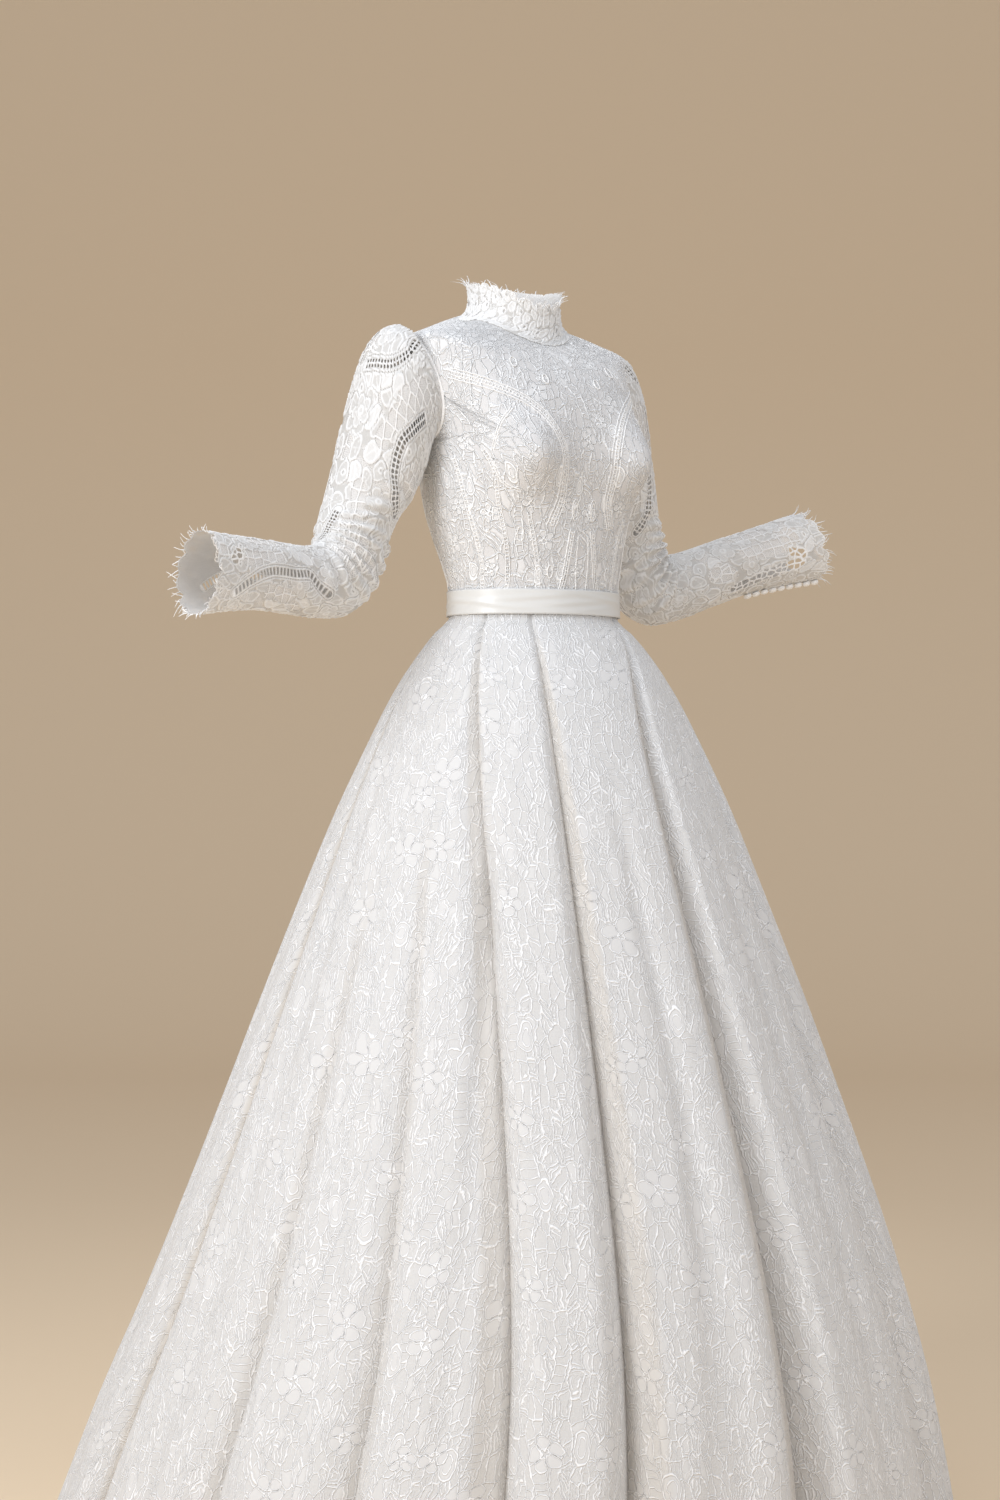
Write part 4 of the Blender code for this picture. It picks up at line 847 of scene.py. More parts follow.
def sleeveLace(side, u, v, flatPlace, length):
    seed = sleeve["seeds"][side]
    wavyU, wavyV = u, v
    for far, size, own in sleeve["wander"]:
        wavyU = wavyU + far * (softNoise(u, v, size, seed + own) - 0.5)
        wavyV = wavyV + far * (softNoise(u, v, size, seed + own + 1) - 0.5)
    edge, number, (mu, mv) = cellPattern(wavyU, wavyV, *sleeve["leafCell"], seed)
    # petals and leaves with a raised rim, rounded off where three meet, and parted by narrow gaps that short
    # bars cross
    bars = (softNoise(u, v, 3.4, seed + 2) - 0.60) * 5
    closed = (sleeve["closed"] - softNoise(u, v, 14, seed + 7)) * 9
    petal = petalShape(wavyU, wavyV, edge, number, mu, mv, sleeve["leafCell"])
    cloth = np.maximum.reduce([petal, bars, closed])
    fromVein = (wavyU - mu) * np.cos(number * 9) + (wavyV - mv) * np.sin(number * 9)
    relief = np.where(petal > 0, 0.15 + 0.25 * (number > 0.66), -0.15) + 1.25 * bell((petal - 1.1) / 1.35)
    relief = relief + 0.35 * bell(fromVein / 1.2) * (petal > 2.4)
    # loops of cord worked over them
    loopV = v + 5 * softNoise(u, v, 12, seed + 16)
    loopEdge, loopNumber, _ = cellPattern(wavyU, loopV, *sleeve["loopCell"], seed + 15)
    relief = relief + 0.55 * bell(loopEdge / 1.15) * (loopNumber > 0.68) * (cloth > 0.4)
    # groups of cells hold only a bold net on its ground, some others a ring with a hole
    netEdge, _, _ = cellPattern(u, v, *sleeve["netCell"], seed + 5, 0.4)
    groups = 0.6 * softNoise(mu, mv, sleeve["group"], seed + 20)
    groups = groups + 0.4 * softNoise(mu, mv, sleeve["group"] / 2, seed + 21)
    netted = groups < sleeve["netted"]
    netCords = np.maximum(0.95 - netEdge, 0.95 - edge)
    cloth = np.where(netted, netCords, cloth)
    relief = np.where(netted, 0.2 + 0.8 * bell(np.minimum(netEdge, edge) / 1.2), relief)
    reach = np.hypot(wavyU - mu, wavyV - mv)
    ringed = (number > 0.82) & (edge > 2.2) & ~netted
    cloth = np.where(ringed, np.minimum(cloth, np.abs(reach - 0.4) - 1.2), cloth)
    relief = np.where(ringed, 0.8 * bell((reach - 3.0) / 1.2) + relief * 0.5, relief)
    # five-petalled flowers over them, with a ring at the heart
    _, kind, (fu, fv) = cellPattern(u, v, *sleeve["flowerCell"], seed + 6, 0.6)
    du, dv = u - fu, v - fv
    out, turn = np.hypot(du, dv), np.arctan2(dv, du)
    size = sleeve["flower"] * (0.8 + 0.4 * kind)
    inPetal = size * (0.50 + 0.50 * np.abs(np.cos(2.5 * turn + kind * 9)) ** 0.55) - out
    shown = (inPetal > -1.6) & (kind > 0.12)
    cloth = np.where(shown, np.maximum(np.minimum(inPetal, np.abs(out - 1.2)), bars), cloth)
    rims = bell((inPetal - 1.0) / 1.3) + bell((out - 3.6) / 1.3)
    ribs = np.cos(turn * 25) * bell((out - size * 0.5) / 4)
    relief = np.where(shown & (inPetal > 0), 0.3 + rims + 0.3 * ribs, relief)
    relief = np.where(shown & (inPetal <= 0), -0.3, relief)
    # windows of plain net
    for halfWidth, line in sleeve["windows"]:
        distance, _ = lineDistance(u, v, [flatPlace(*place) for place in line])
        deep = halfWidth + 5 * (softNoise(u, v, 11, seed + 4) - 0.5) - distance
        cords = np.maximum(0.95 - netEdge, 1.1 - np.abs(deep - 0.6))
        cloth = np.where(deep > -0.6, np.maximum(np.minimum(cloth, 1.0 - deep), cords), cloth)
        relief = np.where(deep > 1.6, 0.2 + 0.8 * bell(netEdge / 1.2), relief)
    ground = np.full(u.shape, 5.0)
    # bolder net with nothing behind it
    boldEdge, _, _ = cellPattern(u, v, *sleeve["boldCell"], seed + 25, 0.7)
    for halfWidth, line in sleeve["openNets"][side]:
        distance, _ = lineDistance(u, v, [flatPlace(*place) for place in line])
        deep = halfWidth + 6 * (softNoise(u, v, 9, seed + 26) - 0.5) - distance
        cords = np.maximum(1.15 - boldEdge, 1.3 - np.abs(deep - 0.6))
        cloth = np.where(deep > -0.6, np.maximum(np.minimum(cloth, 1.0 - deep), cords), cloth)
        relief = np.where(deep > 0, 0.3 + 0.9 * bell(boldEdge / 1.4), relief)
        ground = np.minimum(ground, -deep)
    for halfLong, halfWide, bar, double, sides, places in sleeve["ladders"]:
        if side not in sides:
            continue
        distance, along = lineDistance(u, v, smoothLine([flatPlace(*place) for place in places]))
        pitch = halfLong * 2 + bar
        column = halfWide + 0.85 if double else 0.0
        fromHole = np.abs((along % pitch) - pitch / 2)
        longHole = halfLong - fromHole
        wideHole = halfWide - np.abs(distance - column)
        dots = 1.15 - np.hypot((along % 4.2) - 2.1, distance - 7.2)
        holes = np.maximum(np.minimum(longHole, wideHole), dots)
        band = 9.4 - distance
        cloth = np.where(band > 0, np.maximum(cloth, band), cloth)
        cloth = np.where(band > 0, np.minimum(np.minimum(band + 1, 3), -holes), cloth)
        sideCords = [0.0, 5.6, 8.8] if double else [5.6, 8.8]
        cords = np.maximum.reduce([bell((distance - place) / 1.2) for place in sideCords])
        cords = np.maximum(cords, 0.7 * bell((fromHole - pitch / 2) / 1.3) * (wideHole > -0.4))
        relief = np.where(band > -0.4, -0.1 + 1.3 * cords, relief)
        ground = np.minimum(ground, distance - 6.0)
    # whole cloth along the armhole and the underarm seam, and a scalloped cuff
    fromSeam = length / 2 - np.abs(u)
    for distance, band in ((v, sleeve["headSeam"]), (fromSeam, sleeve["underarmSeam"])):
        cloth = np.maximum(cloth, band - distance)
        relief = np.where(distance < band, 0.5 * bell((distance - band * 0.6) / band), relief)
    fromCuff = v.max() - v - cuffScallop(u / length)
    rim = sleeve["cuffRim"]
    cloth = np.where(fromCuff < 3.0, np.maximum(cloth, rim - np.abs(fromCuff - rim)), cloth)
    relief = np.where(np.abs(fromCuff - rim) < rim, 0.7 * bell((fromCuff - rim) / rim), relief)
    ground = np.minimum(ground, fromCuff - 1.0)
    return np.minimum(cloth, fromCuff), relief, ground


# Collar, with petals standing along its top edge

collar = {
    # zFront zSide zBack halfWidth yFront yMiddle yBack
    "levels": [
        ("flare", -0.0004, 0.0326, 0.0549, 0.0740, -0.0590, 0.0080, 0.0780),
        ("neckSeam", 0.0055, 0.0372, 0.0620, 0.0668, -0.0536, 0.0080, 0.0722),
        ("lower", 0.020, 0.0480, 0.0700, 0.0620, -0.0495, 0.0085, 0.0675),
        ("upper", 0.035, 0.0620, 0.0780, 0.0605, -0.0485, 0.0090, 0.0665),
        ("topEdge", 0.0495, 0.0750, 0.0860, 0.0610, -0.0500, 0.0095, 0.0680),
        ("petalTips", 0.0570, 0.0820, 0.0920, 0.0625, -0.0515, 0.0095, 0.0695),
    ],
    "columns": 380, "rows": 54, "petals": 21, "tips": 10.5, "foot": 9.5,
    "cell": (11.0, 15.0), "loopCell": (8.5, 13.0), "ring": (3.0, 5.2),
}


def collarSurface(angle, rise):
    zFront, zSide, zBack, halfWidth, yFront, yMiddle, yBack = sampleTable(collar["levels"], rise)
    x, y = sectionPoint(angle, halfWidth, yFront, yMiddle, yBack, 2.0)
    return np.stack([x, y, heightRound(angle, zFront, zSide, zBack)], axis=-1)


def collarPiece(material, netting):
    angle, rise = np.meshgrid(np.linspace(-180, 180, collar["columns"]), np.linspace(0, 5, collar["rows"]))
    points = collarSurface(angle, rise)
    normals = normalsOf(points, points * np.array([1, 1, 0]) - np.array([0, 0.009, 0]))
    u, v = arcAlong(points, 1) * 1000, arcAlong(points, 0) * 1000
    petalTurn = angle / 360 * collar["petals"] * math.pi + 0.6 * np.sin(np.radians(angle) * 5)
    uneven = 0.45 + 0.55 * softNoise(u, v * 0, 22, 44)
    top = v[-1].max() - collar["tips"] * (1 - uneven * np.abs(np.sin(petalTurn)) ** 0.6)
    wavyU, wavyV = u + 5 * softNoise(u, v, 16, 41), v + 3 * softNoise(u, v, 12, 45)
    edge, number, (mu, mv) = cellPattern(wavyU, wavyV, *collar["cell"], 42)
    ring = np.hypot((u - mu) / collar["ring"][0], (v - mv) / collar["ring"][1])
    looped = number > 0.62
    bars = np.maximum((softNoise(u, v, 3.2, 43) - 0.50) * 5, (0.62 - softNoise(u, v, 11, 46)) * 9)
    petal = petalShape(wavyU, wavyV, edge, number, mu, mv, collar["cell"])
    cloth = np.maximum(petal, bars)
    cloth = np.where(looped & (petal > 0), np.minimum(cloth, np.abs(ring - 0.1) * 4 - 1.6), cloth)
    loopEdge, _, _ = cellPattern(u + 4 * softNoise(u, v, 9, 47), v, *collar["loopCell"], 48)
    relief = np.where(petal > 0, 0.45, 0.1) + 0.9 * bell((petal - 1.2) / 1.4)
    relief = relief + 0.7 * bell((ring - 0.8) / 0.35) * looped + 0.6 * bell(loopEdge)
    fromTop = top - v
    cloth = np.where(fromTop < 2.2, np.maximum(cloth, 1.5 - np.abs(fromTop - 1.0)), cloth)
    cloth = np.where(v < collar["foot"], 1.0, cloth)
    relief = np.where(np.abs(fromTop - 1.2) < 1.2, 0.9, relief)
    uv = np.stack([u, v], axis=2) / 1000
    behind = points - normals * sleeve["netBehind"]
    coarse = (slice(None), slice(None, None, 3))
    net = cutLace("collarNet", behind[coarse], uv[coarse], fromTop[coarse] - 1.5, relief[coarse],
                  normals[coarse], netting, ())
    points = points + normals * (relief / 1000)[:, :, None]
    cloth = np.minimum(cloth, fromTop)
    piece = cutLace("standCollar", points, uv, cloth, relief, normals, material, ["collar"])
    return points, normals, top


# Ribbon round the waist

belt = {
    "top": -0.3165, "width": 0.032, "lift": 0.0023, "thickness": 0.0008, "roundness": 2.1,
    "columns": 300, "rows": 15,
    # drag lines: degrees round, height across the ribbon 0 to 1, length, width, lean, how high they stand
    "drags": [
        (-62, 0.64, 72, 5.0, 0.12, 1.0),
        (-40, 0.32, 90, 4.4, -0.08, 0.9),
        (-14, 0.55, 96, 5.0, -0.07, 1.2),
        (10, 0.76, 66, 4.0, -0.10, 0.8),
        (32, 0.36, 78, 4.6, 0.07, 1.1),
        (54, 0.62, 70, 4.4, 0.10, 0.9),
        (-90, 0.42, 66, 4.6, 0.08, 0.8),
        (-124, 0.60, 84, 4.8, -0.09, 1.0),
        (-156, 0.38, 70, 4.4, 0.09, 0.9),
        (84, 0.50, 70, 4.6, -0.08, 1.0),
        (118, 0.36, 78, 4.6, 0.09, 1.0),
        (150, 0.64, 70, 4.4, -0.08, 0.9),
        (-30, 0.82, 50, 3.2, 0.06, 0.6),
        (40, 0.86, 46, 3.0, -0.05, 0.5),
        (2, 0.20, 54, 3.2, 0.08, 0.6),
    ],
}


def beltSurface(angle, z):
    # the bodice above the waist seam and the skirt's top below it
    level = curveThrough([row[2] for row in bodice["levels"][:3]], [0.0, 1.0, 2.0], z)
    above = bodiceSurface(angle, level)
    section = sampleTable(skirt["levels"], np.maximum(0, skirt["waistSeamZ"] - z), skirt["drops"])
    x, y = sectionPoint(angle, *section, belt["roundness"])
    over = (z > skirt["waistSeamZ"])[..., None]
    flat = np.where(over, above[..., :2], np.stack([x, y], axis=-1))
    return np.concatenate([flat, z[..., None]], axis=-1)


def beltPiece(material):
    angle, share = np.meshgrid(np.linspace(-180, 180, belt["columns"]), np.linspace(0, 1, belt["rows"]))
    points = beltSurface(angle, belt["top"] - share * belt["width"])
    normals = normalsOf(points, points * np.array([1, 1, 0]) - np.array([0, -0.03, 0]))
    u, v = arcAlong(points, 1) * 1000, share * belt["width"] * 1000
    lift = np.full(u.shape, belt["lift"] * 1000)
    perDegree = u.max() / 360
    for around, height, long, wide, lean, size in belt["drags"]:
        du, dv = u - (around + 180) * perDegree, v - height * belt["width"] * 1000
        lift = lift + size * bell(du / long) * bell((dv - lean * du) / wide)
    points = points + normals * (lift / 1000)[:, :, None]
    piece = gridPiece("waistRibbon", points, np.stack([u, v], axis=2) / 1000, material, normals, ["belt"])
    shell = piece.modifiers.new("shell", "SOLIDIFY")
    shell.thickness, shell.offset = belt["thickness"], -1


# Round cords, and those along the armholes

def cordPiece(name, paths, radius, material, sides=6, closed=True):
    # one mesh of round cords, each along its own path
    points, faces, uv, count = [], [], [], 0
    turns = np.arange(sides) / sides * 2 * math.pi
    for path in paths:
        path = np.asarray(path, float)
        ahead = np.roll(path, -1, axis=0) - np.roll(path, 1, axis=0) if closed else np.gradient(path, axis=0)
        ahead = unit(ahead)
        aside = np.cross(ahead, [0.0, 0.0, 1.0])
        upright = np.linalg.norm(aside, axis=1, keepdims=True) < 0.1
        aside = unit(np.where(upright, np.cross(ahead, [0.0, 1.0, 0.0]), aside))
        other = np.cross(aside, ahead)
        out = aside[:, None] * np.cos(turns)[:, None] + other[:, None] * np.sin(turns)[:, None]
        points.append((path[:, None] + radius * out).reshape(-1, 3))
        index = count + np.arange(len(path) * sides).reshape(len(path), sides)
        after = np.roll(index, -1, axis=0) if closed else index[1:]
        here = index if closed else index[:-1]
        quads = np.stack([here, np.roll(here, -1, axis=1), np.roll(after, -1, axis=1), after], axis=2)
        faces += quads.reshape(-1, 4).tolist()
        if not closed:
            faces += [index[0, ::-1].tolist(), index[-1].tolist()]
        around, walked = np.meshgrid(turns * radius, walkAlong(path))
        uv.append(np.stack([walked, around], axis=2).reshape(-1, 2))
        count += len(path) * sides
    return meshPiece(name, np.concatenate(points), faces, np.concatenate(uv), material)


# Raised bands and rings worked into the bodice lace, as cords that lie on it

bands = {
    "radius": 0.0007, "lift": 0.0002, "ringLift": 0.0004, "step": 0.0045,
    # places as degrees round and levels, each with its mirror image, then offsets of the cords and the rung
    # spacing in millimetres
    "front": [
        ([(70, 7.9), (48, 7.6), (30, 7.1), (19, 6.3), (14, 5.2), (14, 4.2), (20, 3.2)],
         (-6.5, -2.2, 2.2, 6.0), 4.6),
        ([(6, 3.1), (9, 2.2), (12, 1.2), (16, 0.25)], (-5.0, -1.8, 1.8), 4.6),
        ([(3, 2.9), (4, 1.8), (3.5, 0.8), (5, 0.25)], (0.0,), 0),
        ([(34, 3.6), (31, 2.4), (30, 1.2), (33, 0.25)], (-2.3, 2.3), 4.8),
        ([(62, 5.6), (54, 4.2), (50, 2.6), (52, 0.9), (55, 0.25)], (-2.4, 2.4), 4.8),
        ([(40, 6.8), (52, 6.2), (58, 5.2), (50, 4.4), (40, 4.2)], (-1.6, 1.6), 0),
        ([(80, 5.4), (74, 3.8), (70, 2.2), (72, 0.3)], (-2.4, 2.4), 4.8),
    ],
    "back": [
        ([(164, 10.2), (150, 9.2), (136, 8.6)], (-2.4, 2.4), 4.8),
        ([(170, 8.4), (162, 6.8), (166, 5.0), (160, 3.0), (166, 0.3)], (-5.0, -1.8, 1.8), 4.6),
        ([(140, 7.2), (146, 5.6), (138, 3.8), (144, 0.3)], (-2.4, 2.4), 4.8),
        ([(120, 5.4), (122, 3.6), (118, 2.0), (120, 0.3)], (-2.4, 2.4), 4.8),
    ],
    # rings as degrees round, level, half width and half height in millimetres
    "rings": [
        (5.0, 3.75, 5.2, 13.5), (5.0, 3.75, 2.9, 9.0), (26, 8.6, 4.6, 8.0), (40, 2.9, 4.4, 9.0),
        (22, 1.6, 3.6, 8.0), (62, 3.2, 4.0, 9.0), (12, 8.0, 4.0, 7.0), (172, 7.2, 4.6, 10.0),
        (152, 4.4, 4.6, 9.0), (130, 6.4, 4.4, 8.0),
    ],
}


def alongBody(places, mirror):
    # even steps along a line over the bodice: angle, level and how far along
    keys = np.arange(len(places))
    fine = np.linspace(0, len(places) - 1, 200)
    angle = mirror * curveThrough(keys, [place[0] for place in places], fine)
    level = curveThrough(keys, [place[1] for place in places], fine)
    walked = walkAlong(bodiceSurface(angle, level))
    even = np.linspace(0, walked[-1], max(4, round(walked[-1] / bands["step"])))
    return np.interp(even, walked, angle), np.interp(even, walked, level), even


def bodyFrame(angle, level):
    # the place on the bodice, the way to the side, the way up and the way out
    here = bodiceSurface(angle, level)
    aside = unit(bodiceSurface(angle + 0.5, level) - here)
    outward = unit(np.cross(aside, bodiceSurface(angle, level + 0.05) - here))
    return here, aside, np.cross(outward, aside), outward


def bodiceBands(material):
    paths, rings = [], []
    for places, offsets, rungs in bands["front"] + bands["back"]:
        for mirror in (1, -1):
            angle, level, walked = alongBody(places, mirror)
            here, _, _, outward = bodyFrame(angle, level)
            aside = unit(np.cross(outward, np.gradient(here, axis=0)))
            here = here + outward * bands["lift"]
            for offset in offsets:
                wave = 0.35 * np.sin(walked * 900 + offset)
                paths.append(here + aside * (offset + wave)[:, None] / 1000)
            if rungs:
                first, last = sorted(offsets, key=abs)[:2]
                for place in np.arange(rungs / 2000, walked[-1], rungs / 1000):
                    step = int(np.searchsorted(walked, place))
                    ends = [here[step] + aside[step] * offset / 1000 for offset in (first, last)]
                    paths.append([ends[0], (ends[0] + ends[1]) / 2, ends[1]])
    turns = np.arange(0, 2 * math.pi, math.pi / 12)
    for around, level, wide, high in bands["rings"]:
        for mirror in (1, -1):
            here, aside, upward, outward = bodyFrame(np.array(mirror * around * 1.0), np.array(level))
            across = aside * (np.cos(turns) * wide / 1000)[:, None]
            up = upward * (np.sin(turns) * high / 1000)[:, None]
            rings.append(here + outward * bands["ringLift"] + across + up)
    for name, made, closed in (("bodiceBands", paths, False), ("bodiceRings", rings, True)):
        cordPiece(name, made, bands["radius"], material, sides=4, closed=closed)


armholeCord = {"radius": 0.0021, "aside": 0.0010, "outward": 0.0002, "degrees": 3.0}


def armholeCords(material):
    around = np.arange(0, 360, armholeCord["degrees"])
    for side, mirror in (("L", 1.0), ("R", -1.0)):
        path = (armholeEdge(around) + armholeRing(around)) / 2
        path = path + unit(path - path.mean(axis=0)) * armholeCord["outward"] + [armholeCord["aside"], 0, 0]
        cord = cordPiece("armholeCord" + side, [path * [mirror, 1, 1]], armholeCord["radius"], material)


# Lash edging along the collar and the cuffs

edging = {
    "collarLashes": 84, "cuffLashes": 60, "length": 0.0125, "radius": 0.00100, "steps": 5, "sides": 3,
    "seeds": {"collar": 51, "L": 61, "R": 71},
    "shortest": 0.35, "uneven": 0.75,  # a lash's length, as shares of the full one
    "lean": 1.7, "straightest": 0.15, "curl": 0.75, "taper": 0.6,
}


def lashPiece(name, feet, rises, outs, material, node, seed):
    # each lash is a tapered, three-sided strand that curls outwards
    points, faces, uv = [], [], []
    steps, sides = edging["steps"], edging["sides"]
    turns = np.arange(sides) / sides * 2 * math.pi
    for number, (foot, rise, out) in enumerate(zip(feet, rises, outs)):
        aside = np.cross(rise, out)
        length = edging["length"] * (edging["shortest"] + edging["uneven"] * float(chance(number, 1, seed)))
        lean = (float(chance(number, 2, seed)) - 0.5) * edging["lean"]
        curl = edging["straightest"] + edging["curl"] * float(chance(number, 3, seed))
        base = len(points)
        for step in range(steps):
            share = step / (steps - 1)
            middle = (foot + rise * length * share * (1 - 0.25 * curl * share)
                      + aside * length * lean * share ** 1.4 + out * length * curl * share ** 2)
            thin = edging["radius"] * (1 - edging["taper"] * share)
            for turn in turns:
                points.append(middle + (aside * math.cos(turn) + out * math.sin(turn)) * thin)
                uv.append((turn * thin, share * length))
        for first in range(base, base + (steps - 1) * sides, sides):
            for corner in range(sides):
                a, b = first + corner, first + (corner + 1) % sides
                faces.append((a, b, b + sides, a + sides))
        faces.append(tuple(range(base + (steps - 1) * sides, base + steps * sides)))
    meshPiece(name, np.array(points), faces, uv, material, [node])


def edgings(material, collarGrid, collarNormals, collarTop, sleeves):
    columns = np.linspace(1, collarGrid.shape[1] - 2, edging["collarLashes"]).astype(int)
    heights = arcAlong(collarGrid, 0) * 1000
    rows = [int(np.searchsorted(heights[:, c], collarTop[0, c] - 1.0)) for c in columns]
    rows = np.clip(rows, 2, collarGrid.shape[0] - 1)
    feet, outs = collarGrid[rows, columns], collarNormals[rows, columns]
    rises = unit(feet - collarGrid[rows - 2, columns])
    lashPiece("collarLashes", feet, rises, outs, material, "edging_collar", edging["seeds"]["collar"])
    for side, (grid, normals) in sleeves.items():
        columns = np.linspace(0, grid.shape[1] - 1, edging["cuffLashes"], endpoint=False).astype(int)
        rowStep = float(np.linalg.norm(grid[-1] - grid[-2], axis=1).mean()) * 1000
        back = np.round(cuffScallop(columns / (grid.shape[1] - 1) - 0.5) / rowStep).astype(int)
        rows = grid.shape[0] - 1 - back
        feet, outs = grid[rows, columns], normals[rows, columns]
        rises = unit(feet - grid[rows - 3, columns])
        lashPiece("cuffLashes" + side, feet, rises, outs, material, "edging_cuff_" + side,
                  edging["seeds"][side])


# Covered buttons along each underarm seam

button = {
    "radius": 0.0058, "height": 0.0068, "count": 9, "proud": 0.0014,
    "rimRadius": 0.0052, "rimThick": 0.0006, "rimDrop": 0.26, "nearest": 12,
}


def buttonPieces(material, sleeves):
    bpy.ops.mesh.primitive_uv_sphere_add(segments=24, ring_count=12, radius=button["radius"])
    base = bpy.context.object
    bpy.ops.object.mode_set(mode="EDIT")
    bpy.ops.mesh.select_all(action="SELECT")
    bpy.ops.transform.resize(value=(1, 1, button["height"] / 2 / button["radius"]))
    bpy.ops.mesh.select_all(action="DESELECT")
    bpy.ops.mesh.primitive_torus_add(
        major_segments=24, minor_segments=6, major_radius=button["rimRadius"],
        minor_radius=button["rimThick"], location=(0, 0, -button["height"] * button["rimDrop"]))
    bpy.ops.mesh.select_all(action="DESELECT")
    bpy.ops.object.mode_set(mode="OBJECT")
    bpy.ops.object.shade_smooth()
    for side, (grid, normals) in sleeves.items():
        flat, flatNormals = grid.reshape(-1, 3), normals.reshape(-1, 3)
        for number in range(1, button["count"] + 1):
            node = f"button_{side}_{number}"
            low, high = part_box(node)
            centre = np.array((low + high) / 2)
            near = np.argsort(np.linalg.norm(flat - centre, axis=1))[:button["nearest"]]
            facing = Vector(flatNormals[near].mean(axis=0)).normalized()
            placed = facing.to_track_quat("Z", "Y").to_matrix().to_4x4()
            placed.translation = Vector(centre) + facing * button["proud"]
            copy = bpy.data.objects.new(f"button{side}{number}", base.data.copy())
            copy.data.transform(placed)
            copy.data.materials.clear()
            copy.data.materials.append(material)
            bpy.context.scene.collection.objects.link(copy)
            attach(copy, "root")
            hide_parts(node)
    bpy.data.objects.remove(base)


# Materials

def clothPlace(tree, wide=1.0, high=1.0):
    # the place on the flat cloth, in steps of so many millimetres across and down
    cloth = addNode(tree, "UVMap", uv_map="cloth")
    return addNode(tree, "VectorMath:MULTIPLY", cloth, (1000 / wide, 1000 / high, 0))


def ridge(tree, value, middle, halfWidth):
    # 1 on a line and falling to 0 at its half width
    away = addNode(tree, "Math:ABSOLUTE", addNode(tree, "Math:SUBTRACT", value, middle))
    return addNode(tree, "MapRange:SMOOTHSTEP", away, halfWidth, halfWidth * 0.25)


def combine(tree, operation, *values):
    # one value from several, such as the highest or the product of them all
    whole = values[0]
    for value in values[1:]:
        whole = addNode(tree, "Math:" + operation, whole, value)
    return whole


